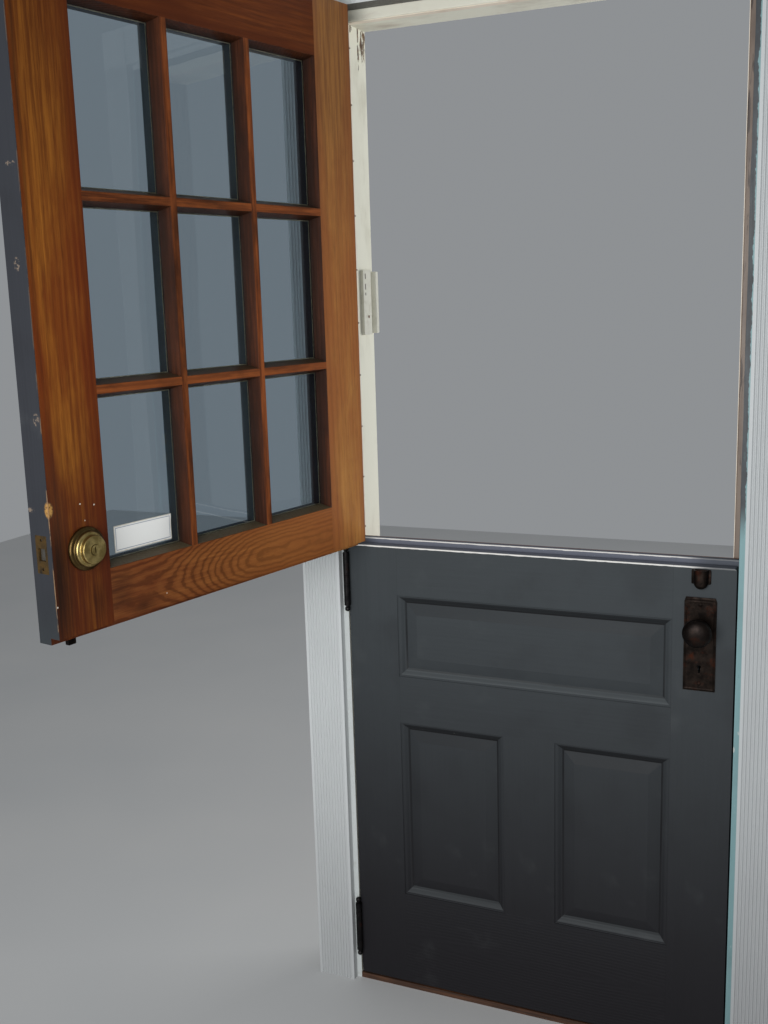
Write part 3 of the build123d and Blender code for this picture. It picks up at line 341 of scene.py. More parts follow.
@dataclass(frozen=True)
class Varnish:
    """Stained and varnished softwood: rings cut by the board's face, fine fibres and broad red patches."""

    light: Colour = "a66a26"
    middle: Colour = "88511c"
    dark: Colour = "643613"
    # red: broad red patches, and the painted shade at each board's edges.
    red: Colour = "642a0f"
    line: Colour = "3c1c0c"
    spacing: float = 0.0065
    depth: float = 0.16
    tilt: float = 0.6
    aside: float = 0.12
    waver: float = 2.6
    bend: float = 9
    rings: float = 0.16
    swell: tuple[float, float, float, float] | None = None

    def lay(self, board: Flow, seed: float, half: float) -> tuple[Flow, ...]:
        """Lay the varnished wood.

        Args:
            board: Coordinates with X along the grain and Z across it from the board's middle line.
            seed: Number that makes this board's figure its own.
            half: Half of the board's width.

        Returns:
            The colour, the roughness, the height of the fibres and the growth rings.
        """
        heart = board.mapped((0, self.depth, self.aside), (0, 0, self.tilt))
        if self.swell:
            along, down, across = heart.axes()
            heart = board.shader.node("CombineXYZ", {0: along, 1: down + along.band(*self.swell), 2: across})
        rings = heart.scaled(0.45, 1, 1).rings(self.spacing, self.waver, self.bend)
        slid = board.mapped((seed * 1.9, seed * 0.7, 0))
        fibres = slid.scaled(1, 26, 26).noise(8, 6, 0.66)
        pores = slid.scaled(1, 26, 26).noise(34, 3, 0.5)
        broad = slid.scaled(1, 3.4, 3.4).noise(3.6, 4, 0.6)
        colour = fibres.ramp((0.28, self.dark), (0.48, self.middle), (0.7, self.light))
        colour = colour.mix(broad.band(0.42, 0.66, 0, 0.75), self.red)
        # Painted highlight: each board stays lighter along its middle and turns darker red towards its edges.
        off_middle_shade = abs(board.axes()[2]) + broad.spread(0.05)
        colour = colour.mix(off_middle_shade.band(half * 0.38, half * 0.98, 0, 0.85), self.red)
        colour = colour.mix(rings.band(0.55, 0.97, 0, self.rings), self.line)
        colour = colour.mix(rings.band(0.02, 0.35, self.rings * 0.45, 0), self.light)
        colour = colour.mix(pores.band(0.54, 0.72, 0, 0.34), self.line)
        return colour, broad.band(0.3, 0.7, 0.36, 0.46), fibres, rings


@dataclass(frozen=True)
class StainAndShade:
    """One mark on the varnished face: where it is on the closed leaf, its size, reach, strength and colour."""

    x: float
    z: float
    radius: float
    reach: Pair = (1, 1)
    strength: float = 0.7
    colour: Colour = "22140c"
    ragged: bool = True

    def lay(self, at: Flow, stained: Flow, fibres: Flow) -> Flow:
        """Lay the mark on the varnished wood.

        Args:
            at: Coordinates of the closed door.
            stained: Colour of the varnished wood.
            fibres: Streaks that break the edge of a ragged stain.

        Returns:
            The marked colour.
        """
        soft = self.radius * (0.9 if self.ragged else 0.15)
        spot = at.near((self.x, OUTER_FACE, self.z), self.radius, soft, (self.reach[0], 9, self.reach[1]))
        if self.ragged:
            spot = spot * fibres.band(0.36, 0.6, 1, 0.65)
        return stained.mix(spot * self.strength, self.colour)


@dataclass(frozen=True)
class BoardFinish:
    """A leaf's board, painted on the room side and varnished on the outer side."""

    grain: Grain
    side: Side
    seed: float
    middle: float = 0
    half: float = 0.05
    paint: LeafPaint = LeafPaint()
    wood: Varnish = Varnish()
    joint: tuple[float, ...] = ()
    # Stains, and broad patches of painted shade and painted light, on the varnished face.
    stains: tuple[StainAndShade, ...] = ()
    ledge: bool = False
    free_edge: bool = False
    dusty: bool = False
    shaded_bars: bool = False
    relief: float = 0.2
    sheen: float = 0.32

    def make(self, name: str) -> Material:
        """Make the material.

        Args:
            name: Its name.

        Returns:
            The material.
        """
        shader = Shader(name)
        sash, upright = self.side is Side.SASH, self.grain is Grain.UPRIGHT
        at = shader.closed_place() if sash else shader.place
        x, y, z = at.axes()
        board = at.mapped((0, BOARD_MIDDLE, self.middle if upright else -self.middle), self.grain.value)
        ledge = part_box("lower_top_rail")[1].z - 0.01 if self.ledge else None
        painted, paint_rough = self.paint.lay(at, board, ledge)
        stained, wood_rough, fibres, rings = self.wood.lay(board, self.seed, self.half)
        for stain in self.stains:
            stained = stain.lay(at, stained, fibres)
        # Painted light on bars and beads: the outermost face is lightened as a painted highlight and the deeper sides
        # are darkened as painted shade; the smudges are dirt.
        if self.shaded_bars:
            rubbed = y.band(-0.0268, -0.0262) * fibres.band(0.35, 0.65, 0.1, 0.7)
            stained = stained.mix(rubbed, self.wood.light)
            deep_shade = y.band(-0.0465, -0.029, 0.9, 0) * fibres.band(0.3, 0.7, 1, 0.7)
            smudge = board.scaled(1, 3, 3).noise(7, 5, 0.65).band(0.4, 0.7, 0, 0.8)
            stained = stained.mix(deep_shade, "1a0f0a").mix(smudge, "24140d")
        if self.dusty:
            dust = shader.up().band(0.25, 0.55, 0, 0.8) * fibres.band(0.3, 0.6, 1, 0.7)
            stained = stained.mix(dust * z.band(1.1, 1.2, 1, 0.45), "605844")
        outer = y.band(self.side.value - 0.0004, self.side.value + 0.0004)
        if sash:
            outer = outer * abs(x).band(0.38, 0.3804, 1, 0)
            outer = outer.sum("MAXIMUM", z.band(0.9903, 0.9907, 1, 0) * y.band(-0.0445, -0.044))
        if self.free_edge:
            painted, outer = self.wear_free_edge(at, painted, outer)
        colour = painted.mix(outer, stained)
        for line in self.joint:
            colour = colour.mix(abs(x - line).band(0.0003, 0.0008, 0.3, 0), "141313")
        rough = outer * wood_rough + (1 - outer) * paint_rough
        return shader.finish(colour, rough, Normal=(fibres + rings * self.relief).bump(0.3, 0.0006),
                             Specular_IOR_Level=self.sheen, Coat_Weight=0.03, Coat_Roughness=0.2)

    def wear_free_edge(self, at: Flow, painted: Flow, outer: Flow) -> tuple[Flow, Flow]:
        """Wear the edge that meets the latch jamb: a bare ochre chip, scratches and a rubbed arris.

        Args:
            at: Coordinates of the closed door.
            painted: Colour of the paint.
            outer: Mask of the varnished side.

        Returns:
            The worn paint and the new mask.
        """
        edge, face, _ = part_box("lower_latch_stile")[1]
        x, y, z = at.axes()
        ragged = at.noise(240, 4, 0.65)
        bare = at.near((edge, face + 0.001, 1.183), 0.0085, 0.002, (1, 1, 1.35)) * ragged.band(0.36, 0.42)
        painted = painted.mix(bare, ragged.ramp((0.3, "785428"), (0.7, "c49858")))
        for place, level, size, reach in ((-0.063, 1.181, 0.0075, 0.5), (-0.0417, 1.661, 0.01, 0.35),
                                          (-0.0465, 1.527, 0.006, 1.6), (-0.0346, 1.3125, 0.006, 1.5)):
            scratch = at.near((edge, place, level), size, 0.001, (1, 1, reach)) * ragged.band(0.48, 0.58)
            painted = painted.mix(scratch * 0.55, "968472")
        worn = at.scaled(1, 1, 0.2).noise(90, 4, 0.65).band(0.44, 0.54)
        rubbed = (x - edge).apart(y - face).band(0.0008, 0.0016, 0.8, 0) * worn * z.band(1.15, 1.45, 1, 0.25)
        return painted.mix(rubbed, "967658"), outer * (1 - bare)


@dataclass(frozen=True)
class FramePaint:
    """Old oil paint on the frame, with brush marks, grime in the hollows and bare patches where it is named."""

    colour: Colour
    grime: Colour = "78766c"
    grime_amount: float = 0.25
    grain: Grain = Grain.UPRIGHT
    hollow_shade: Pair | None = None
    foot: float = 0.16
    brushed: float = 0.1
    bare: Colour = "3a261a"

    def base(self, shader: Shader) -> tuple[Flow, Flow, Flow]:
        """Lay the paint without bare patches.

        Args:
            shader: Tree that gets it.

        Returns:
            The colour, the roughness and the normal.
        """
        board = shader.place.mapped(turn=self.grain.value)
        strokes = board.scaled(1, 30, 30).noise(5, 4, 0.55)
        clouds = board.scaled(1, 2.2, 2.2).noise(6, 5, 0.6)
        _, y, z = shader.place.axes()
        colour = shader.mix(clouds.band(0.46, 0.8, 0, self.grime_amount), self.colour, self.grime)
        colour = colour.mix(self.brushed, strokes.ramp((0.3, "646462"), (0.7, "a0a0a0")), "OVERLAY")
        # Darker towards the floor: foot grime, and painted shade for light that falls off downwards.
        colour = colour.mix(z.band(0, 0.75, self.foot, 0), self.grime)
        # Painted shade: the deep parts of the flutes take the grime colour.
        if self.hollow_shade:
            colour = colour.mix(y.band(*self.hollow_shade) * 0.16, self.grime)
        colour = colour.mix(shader.place.cells(24).band(0.014, 0.022, 0.6, 0), self.grime)
        return colour, strokes.band(0.25, 0.75, 0.38, 0.52), strokes.bump(1.2 * self.brushed, 0.0004)

    def make(self, name: str, patches: tuple = ()) -> Material:
        """Make the material, with the paint worn off in ragged upright patches.

        Args:
            name: Its name.
            patches: Centre, radius and reach of each patch where the paint is gone.

        Returns:
            The material.
        """
        shader = Shader(name)
        colour, rough, normal = self.base(shader)
        if patches:
            ragged = shader.place.scaled(1, 1, 0.35).noise(150, 5, 0.72)
            tone = shader.place.noise(90, 3).ramp((0.35, self.bare), (0.7, "7e603c"))
        for centre, radius, reach in patches:
            spot = shader.place.near(centre, radius, radius * 0.6, reach)
            colour = colour.mix((spot + ragged * 2.6).band(2.1, 2.24) * spot.band(0.02, 0.1), tone)
        return shader.finish(colour, rough, Normal=normal)


@dataclass(frozen=True)
class Metal:
    """Metal with a clouded skin: two tones, rust or tarnish in patches, pits, and grime near the wood it lies on."""

    bright: Colour
    dull: Colour
    skin: Colour
    skin_share: float = 0.5
    rough: Pair = (0.3, 0.55)
    metallic: float = 1
    pitted: float = 0.3
    scale: float = 60
    grimy: Pair | None = None

    def make(self, name: str) -> Material:
        """Make the material.

        Args:
            name: Its name.

        Returns:
            The material.
        """
        shader = Shader(name)
        clouds = shader.place.noise(self.scale, 5, 0.62)
        patches = shader.place.mapped((0.3, 0.2, 0.1)).noise(self.scale * 0.45, 6, 0.7)
        skin = patches.band(0.62 - 0.3 * self.skin_share, 0.78 - 0.2 * self.skin_share)
        colour = shader.mix(clouds.band(0.35, 0.66), self.bright, self.dull).mix(skin, self.skin)
        if self.grimy:
            colour = colour.mix(shader.closed_place().axes()[1].band(*self.grimy, 0.85, 0), self.skin)
        return shader.finish(colour, clouds.band(0.3, 0.7, *self.rough) + skin * 0.12, Metallic=self.metallic,
                             Normal=shader.place.noise(self.scale * 9, 4, 0.6).bump(self.pitted, 0.0003))


@dataclass(frozen=True)
class WindowGlass:
    """Old sheet glass: clear, faintly blue and not quite flat, with a little dust."""

    colour: Colour = "b7c8d3"

    def make(self, name: str) -> Material:
        """Make the material under a name."""
        place = Shader(name).place
        return place.shader.finish(self.colour, place.noise(50, 4, 0.7).band(0.5, 0.8, 0, 0.05), Transmission_Weight=1,
                                   IOR=1.45, Normal=place.scaled(1, 1, 0.35).noise(9, 1).bump(0.1, 0.003))


@dataclass(frozen=True)
class Plastic:
    """Moulded plastic or vinyl with a fine grain and handling grime."""

    colour: Colour
    grime: Colour
    rough: float = 0.4
    clouds: float = 45

    def make(self, name: str) -> Material:
        """Make the material.

        Args:
            name: Its name.

        Returns:
            The material.
        """
        shader = Shader(name)
        clouds = shader.place.noise(self.clouds, 4, 0.65)
        colour = shader.mix(clouds.band(0.45, 0.75, 0, 0.5), self.colour, self.grime)
        return shader.finish(colour, clouds.band(0.3, 0.7, self.rough, self.rough + 0.12),
                             Normal=shader.place.noise(900, 2).bump(0.12, 0.0002))


@dataclass(frozen=True)
class SillWood:
    """Trodden oak of the sill: dark stain, worn lighter along the fibres."""

    light: Colour = "603e28"
    dark: Colour = "261810"

    def make(self, name: str) -> Material:
        """Make the material.

        Args:
            name: Its name.

        Returns:
            The material.
        """
        shader = Shader(name)
        fibres = shader.place.scaled(1, 30, 30).noise(9, 6, 0.65)
        colour = fibres.ramp((0.32, self.dark), (0.66, self.light))
        colour = colour.mix(shader.place.noise(8, 4).band(0.45, 0.7, 0, 0.5), self.dark)
        return shader.finish(colour, fibres.band(0.3, 0.7, 0.65, 0.45), Normal=fibres.bump(0.5, 0.001))


@dataclass(frozen=True)
class LabelPaper:
    """Blank pale label, yellowed at its edges, with one thin plain border line."""

    centre: Pair
    half: Pair
    paper: Colour = "f3f4f1"
    edge: Colour = "bab29a"
    line: Colour = "606e8a"

    def make(self, name: str) -> Material:
        """Make the material.

        Args:
            name: Its name.

        Returns:
            The material.
        """
        shader = Shader(name)
        x, _, z = shader.closed_place().axes()
        inward = (self.half[0] - abs(x - self.centre[0])).sum("MINIMUM", self.half[1] - abs(z - self.centre[1]))
        stains = shader.place.noise(120, 4, 0.65)
        colour = shader.mix((inward + stains.spread(0.004)).band(0, 0.003, 0.7, 0), self.paper, self.edge)
        colour = colour.mix(abs(inward - 0.0036).band(0.0004, 0.0007, 0.8, 0), self.line)
        return shader.finish(colour, stains.band(0.3, 0.7, 0.35, 0.5), Normal=stains.bump(0.1, 0.0002))


def shown(name: str, data: bpy.types.ID) -> bpy.types.Object:
    """New object of the scene that shows a mesh, a lamp or a camera."""
    bpy.context.scene.collection.objects.link(made := bpy.data.objects.new(name, data))
    return made


def smoothed(mesh: bpy.types.Mesh, crease: float) -> None:
    """Shade a mesh smooth, but for edges past an angle in degrees."""
    mesh.polygons.foreach_set("use_smooth", np.full(len(mesh.polygons), True))
    mesh.set_sharp_from_angle(angle=math.radians(crease))


@dataclass
class Form:
    """Points and faces of a piece, worked out as whole arrays."""

    points: np.ndarray
    faces: list

    def moved(self, matrix: Matrix) -> Self:
        """The form carried by a matrix."""
        carry = np.array(matrix)
        return Form(self.points @ carry[:3, :3].T + carry[:3, 3], self.faces)

    def set_at(self, place: Triple, turn: float = 0, axis: str = "X") -> Self:
        """The form turned about an axis by degrees, then set at its place."""
        return self.moved(Matrix.Translation(place) @ Matrix.Rotation(math.radians(turn), 4, axis))

    def swung_open(self) -> Self:
        """Form of the closed upper leaf, carried to where the leaf stands at rest."""
        pin = Matrix.Translation(PIN)
        return self.moved(pin @ Matrix.Rotation(math.radians(-OPENED), 4, "Z") @ pin.inverted())

    def facing_out(self) -> Self:
        """The closed form with its faces outwards: reversed where the sum of a.(b x c) over triangles is below 0.

        Returns:
            The form.
        """
        volume = 0
        for count in {len(face) for face in self.faces}:
            corner = self.points[np.array([face for face in self.faces if len(face) == count])]
            volume += float((corner[:, :1] * np.cross(corner[:, 1:-1], corner[:, 2:])).sum())
        return self if volume > 0 else Form(self.points, [list(face)[::-1] for face in self.faces])

    def object(self, name: str, body: str, slot: str, finish: Material, *replaces: str) -> None:
        """Put the form into a mesh that rides on a body.

        Args:
            name: Name of the piece.
            body: Body that it rides on.
            slot: Material slot of the record.
            finish: Its material.
            *replaces: CAD nodes that it stands for.
        """
        mesh = bpy.data.meshes.new(name)
        mesh.from_pydata(self.points, [], self.faces)
        mesh.validate()
        smoothed(mesh, 38)
        mesh.update()
        mesh.materials.append(finish)
        made = shown(name, mesh)
        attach(made, body)
        if replaces:
            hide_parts(*replaces)
        LOG.info("%s: %d faces on %s", name, len(mesh.polygons), body)


def joined(*forms: Form) -> Form:
    """Several forms as one, with all their points and faces."""
    starts = np.cumsum([0] + [len(form.points) for form in forms]).tolist()
    return Form(np.concatenate([form.points for form in forms]),
                [[int(i) + start for i in face] for form, start in zip(forms, starts) for face in form.faces])


def grid_faces(rows: int, columns: int, wrap_rows: bool = False, wrap_columns: bool = False) -> list:
    """Four-cornered faces between neighbours on a grid of points.

    Args:
        rows: Rows of the grid.
        columns: Columns of the grid.
        wrap_rows: Whether the last row meets the first.
        wrap_columns: Whether the last column meets the first.

    Returns:
        The faces, each with four point numbers.
    """
    r, c = np.meshgrid(np.arange(rows if wrap_rows else rows - 1),
                       np.arange(columns if wrap_columns else columns - 1), indexing="ij")
    below, right = (r + 1) % rows, (c + 1) % columns
    corners = [r * columns + c, r * columns + right, below * columns + right, below * columns + c]
    return np.stack(corners, -1).reshape(-1, 4).tolist()


def capped_faces(rows: int, steps: int) -> list:
    """Faces round a stack of rings of points, with one over each end."""
    ends = [list(range(steps))[::-1], list(range((rows - 1) * steps, rows * steps))]
    return grid_faces(rows, steps, wrap_columns=True) + ends


def around(steps: int) -> np.ndarray:
    """Angles of even steps round a full turn."""
    return np.linspace(0, FULL_TURN, steps, endpoint=False)


def eased(profile: tuple[Pair, ...], rounds: int) -> np.ndarray:
    """Profile with its corners cut: each round puts points at 1/4 and 3/4 of every run and keeps the ends.

    Args:
        profile: Pairs of the profile, in millimetres.
        rounds: Times that the corners are cut.

    Returns:
        The eased profile in metres.
    """
    line = np.array(profile, float)
    for _ in range(rounds):
        near, far = 0.75 * line[:-1] + 0.25 * line[1:], 0.25 * line[:-1] + 0.75 * line[1:]
        cut = np.stack([near, far], 1).reshape(-1, 2)
        line = np.concatenate([line[:1], cut[1:-1], line[-1:]])
    return line * MM


def domed(radius: float, rise: float, drop: float, inner: float, rings: int) -> np.ndarray:
    """Profile of a screw or nail head: h = rise * sqrt(1 - drop * s^2), r = radius * s, s from inner to 1."""
    share = np.linspace(inner, 1, rings)
    return np.stack([radius * share, rise * np.sqrt(1 - drop * share**2)], 1)


def turned(profile: np.ndarray | list, steps: int) -> Form:
    """Profile of (radius, height) pairs turned about Z: x = r cos a, y = r sin a, z = h, ends closed.

    Args:
        profile: Radius and height of each point.
        steps: Points round the turn.

    Returns:
        The closed form.
    """
    radius, height = np.array(profile, float).T[..., None]
    angle = around(steps)
    points = np.stack([radius * np.cos(angle), radius * np.sin(angle), np.repeat(height, steps, 1)], -1)
    return Form(points.reshape(-1, 3), capped_faces(len(radius), steps)).facing_out()


def upright(flat: np.ndarray, depth: np.ndarray) -> np.ndarray:
    """Points with their X and Z from pairs and their Y from a depth."""
    return np.stack([flat[..., 0], depth, flat[..., 1]], -1).reshape(-1, 3)


def framed(profile: np.ndarray | list, low: Pair, high: Pair) -> Form:
    """Closed profile carried round a rectangle in the XZ plane, mitred: corner + a inwards, y = b.

    Args:
        profile: Pairs of the distance inwards and the Y of each point.
        low: Lowest X and Z of the rectangle.
        high: Highest X and Z of the rectangle.

    Returns:
        The ring-shaped form.
    """
    profile = np.array(profile, float)
    inward = np.array([(1, 1), (-1, 1), (-1, -1), (1, -1)])
    flat = np.where(inward > 0, low, high)[None] + profile[:, None, :1] * inward[None]
    points = upright(flat, np.repeat(profile[:, 1:], 4, 1))
    return Form(points, grid_faces(len(profile), 4, True, True)).facing_out()


def bell(value: np.ndarray, middle: float, width: float) -> np.ndarray:
    """Bell of height 1: e to the power of -((value - middle) / width)^2."""
    return np.exp(-((value - middle) / width) ** 2)


def squared(wave: np.ndarray, power: float) -> np.ndarray:
    """Sine or cosine raised to a power below 1, its sign kept, which squares a circle off."""
    return np.sign(wave) * np.abs(wave) ** power


def dress(finish: Material, *names: str, smooth: bool = False) -> None:
    """Give CAD nodes a finish in their own material slots.

    Args:
        finish: The material.
        *names: Names of the nodes.
        smooth: Whether their curved faces are shaded smooth.
    """
    for name in names:
        node = frame["nodes"][name]
        for place in node.material_slots:
            place.material = finish
        if smooth:
            smoothed(node.data, 32)
        LOG.info("%s: %s", name, finish.name)


@dataclass
class Casings:
    """Reeded casings round the frame, with corner blocks."""

    flute_depth: float = 0.0024
    white: Colour = "d5d9d9"
    aged: Colour = "c2c6c7"
    grime: Colour = "7a787a"

    def build(self) -> None:
        """Dress the casings."""
        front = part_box("casing_hinge_side")[0].y
        shared = {"hollow_shade": (front + 0.6 * self.flute_depth, front + self.flute_depth), "brushed": 0.02}
        upright_paint = FramePaint(self.white, self.grime, 0.06, foot=0.34, **shared)
        dress(upright_paint.make("casing_white_upright"), "casing_hinge_side")
        # The latch-side casing takes a darker copy of the same white, with more darkening towards the floor: painted
        # shade.
        latch_side_paint = FramePaint(self.aged, self.grime, 0.08, foot=0.42, **shared)
        dress(latch_side_paint.make("casing_white_latch_side"), "casing_latch_side")
        across = FramePaint(self.white, self.grime, 0.06, Grain.ACROSS, **shared)
        dress(across.make("casing_white_across"), "casing_head", "corner_blocks")


@dataclass
class Jambs:
    """Jambs, stops, head and sill of the frame."""

    cream: Colour = "e9e8d9"
    white: Colour = "ced3d2"
    teal: Colour = "80a6aa"
    # bare: near-black of the head jamb, bare wood darkened by painted shade.
    bare: Colour = "3e3e3d"
    slate: Colour = "1f252b"

    def build(self) -> None:
        """Dress the frame."""
        face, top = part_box("stop_hinge_side")[1].x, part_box("stop_head")[0].z
        scars = (((face, 0.034, top - 0.035), 0.0045, (1, 1, 12)), ((face, 0.056, top - 0.026), 0.015, (1, 1.2, 2.4)),
                 ((face, -0.004, top - 0.004), 0.01, (1, 2, 1)), ((face, 0.0698, top - 0.3), 0.0022, (1, 1, 130)))
        old = FramePaint(self.cream, "968e76", 0.45, foot=0.05)
        dress(old.make("stop_cream", scars), "stop_hinge_side")
        dress(self.edged("jamb_cream_and_white", old), "jamb_hinge_side")
        dress(self.latch_jamb(), "jamb_latch_side")
        dress(self.latch_stop(), "stop_latch_side")
        head = FramePaint(self.cream, "8c6c54", 0.6, Grain.ACROSS, foot=0)
        dress(head.make("head_stop_cream"), "stop_head")
        # The head jamb is bare wood painted near-black: painted shade for its underside.
        dress(self.edged("jamb_head_bare_shaded", FramePaint(self.bare, "46382e", 0.6)), "jamb_head")
        dress(SillWood().make("sill_oak"), "sill")

    def edged(self, name: str, body: FramePaint) -> Material:
        """Paint of a jamb whose edge towards the room has the casing's colour.

        Args:
            name: Name of the material.
            body: Paint of the other faces.

        Returns:
            The material.
        """
        shader = Shader(name)
        colour, rough, normal = body.base(shader)
        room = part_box("jamb_hinge_side")[0].y
        ragged = shader.place.noise(60, 4, 0.7)
        clean = shader.mix(ragged.band(0.5, 0.8, 0, 0.25), self.white, body.grime)
        edge = (shader.place.axes()[1] + ragged.spread(0.003)).band(room + 0.001, room + 0.0016, 1, 0)
        return shader.finish(colour.mix(edge, clean), rough, Normal=normal)

    def latch_stop(self) -> Material:
        """Bare, cracked wood that is dark next to the jamb.

        Returns:
            The material.
        """
        shader = Shader("stop_bare_shaded")
        colour, rough, normal = FramePaint("8c796a", "544034", 0.7, brushed=0.5).base(shader)
        x, y, _ = shader.place.axes()
        wavy = shader.place.scaled(1, 1, 0.08).noise(180, 4, 0.6)
        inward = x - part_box("jamb_latch_side")[0].x + wavy * 0.003
        # Painted shade: the stop goes near-black in the corner where it meets the jamb.
        dark = inward.band(-0.0042, -0.0036) * y.band(-0.022, -0.02, 1, 0)
        colour = colour.mix(wavy.band(0.54, 0.62, 0, 0.9), "342620").mix(dark, self.slate)
        return shader.finish(colour, rough, Normal=normal)

    def latch_jamb(self) -> Material:
        """Pale teal paint, worn to dark wood on the inner half above the lock.

        Returns:
            The material.
        """
        shader = Shader("jamb_teal")
        colour, rough, normal = FramePaint(self.teal, "546464", 0.35, foot=0.2).base(shader)
        x, _, z = shader.place.axes()
        ragged = shader.place.scaled(1, 1, 0.45).noise(70, 5, 0.72)
        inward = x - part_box("jamb_latch_side")[0].x + ragged.spread(0.012)
        worn = inward.band(0.0072, 0.0078, 1, 0) * z.band(1.02, 1.1)
        colour = colour.mix(worn, ragged.ramp((0.35, self.slate), (0.65, "2f383e")))
        chips = shader.place.scaled(1, 1, 0.3).cells(60).band(0.12, 0.17, 1, 0) * ragged.band(0.46, 0.52)
        colour = colour.mix(chips * z.band(0.6, 0.8, 0, 1), "344648")
        return shader.finish(colour.mix(chips * z.band(0.62, 0.75, 1, 0), "ced4d0"), rough, Normal=normal)


@dataclass
class Weatherstrip:
    """Strip nailed to the stops, with a row of nail heads."""

    pitch: float = 0.1042
    one_level: float = 1.523
    head_radius: float = 0.0018
    head_rise: float = 0.001
    proud: float = 0.0012

    def build(self) -> None:
        """Dress the strips and set the nails."""
        dress(Plastic("eee2d0", "baa48e", 0.42, 14).make("strip_cream"), "weatherstrips")
        low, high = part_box("weatherstrips")
        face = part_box("stop_latch_side")[0].x - self.proud
        first = self.one_level - self.pitch * int((self.one_level - low.z) / self.pitch)
        nail = turned([*domed(self.head_radius, self.head_rise, 1, 0.06, 6), (self.head_radius, -0.0002)], 12)
        nails = [nail.set_at((side * face, high.y - self.head_radius, level), -90 * side, "Y")
                 for side in (-1, 1) for level in np.arange(first, high.z, self.pitch)]
        rust = Metal("7a5c4c", "603e2e", "703c26", 0.6, (0.45, 0.6), 0.7)
        joined(*nails).object("weatherstrip_nails", "frame", "steel", rust.make("nail_rusty_steel"))


@dataclass
class ContactFitting:
    """Two-part plastic contact on the hinge stop: slotted vents and a rusty screw on the wider part."""

    slot_half_width: float = 0.0016
    slot_rise: float = 0.00035
    slots: tuple[Pair, ...] = ((0.0055, 0.0525), (0.006, 0.032), (0.003, 0.0175))
    steps: int = 24
    thick: float = 0.007

    def lozenge(self, half_length: float) -> Form:
        """Long pad with round ends: rings of y = radius cos a, z = radius sin a + the straight part, over its rise.

        Args:
            half_length: Half of its length.

        Returns:
            The pad, its top towards +X.
        """
        angle, wide = around(self.steps), self.slot_half_width
        straight = np.sign(np.sin(angle)) * (half_length - wide)
        rings = [np.stack([np.full_like(angle, rise), wide * shrink * np.cos(angle),
                           wide * shrink * np.sin(angle) + straight * ends], -1)
                 for shrink, ends, rise in ((1, 1, -0.0002), (1, 1, self.slot_rise * 0.6),
                                            (0.7, 1, self.slot_rise), (0.1, 0.9, self.slot_rise))]
        return Form(np.concatenate(rings), capped_faces(len(rings), self.steps)).facing_out()

    def build(self) -> None:
        """Dress the fitting, set its slots and its screw."""
        dress(Plastic("d6d5c8", "b2ac9c", 0.38).make("contact_white"), "contact_sensor")
        low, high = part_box("contact_sensor")
        face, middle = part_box("stop_hinge_side")[1].x + self.thick, (low.z + high.z) / 2
        # The slots are dark pads laid on the face: painted shade in place of real hollows.
        slots = [self.lozenge(half).set_at((face, low.y + 0.01, middle + rise)) for half, rise in self.slots]
        dark = Plastic("3a322c", "605448", 0.6).make("contact_slot_shade")
        joined(*slots).object("contact_slot_shadows", "frame", "white_plastic", dark)
        head = turned(domed(0.003, 0.0009, 0.8, 0.08, 5), 20).set_at((face, low.y + 0.022, middle - 0.028), 90, "Y")
        rust = Metal("96684c", "7a4e36", "7e462c", 0.7, (0.45, 0.6), 0.6)
        head.object("contact_screw", "frame", "steel", rust.make("contact_screw_rust"))


@dataclass
class Ironwork:
    """Hinges and their screws."""

    iron: Metal = Metal("282626", "141314", "422216", 0.2, (0.34, 0.55), 0.85, 0.35, 90)
    steel: Metal = Metal("5c5854", "302d2b", "503422", 0.3)

    def build(self) -> None:
        """Dress the hinges."""
        iron, steel = self.iron.make("hinge_black_iron"), self.steel.make("screw_steel")
        for part in ("frame", "lower", "upper"):
            dress(iron, part + "_hinge_plates", smooth=True)
            dress(steel, part + "_hinge_screws", smooth=True)
        dress(iron, "hinge_pins", smooth=True)


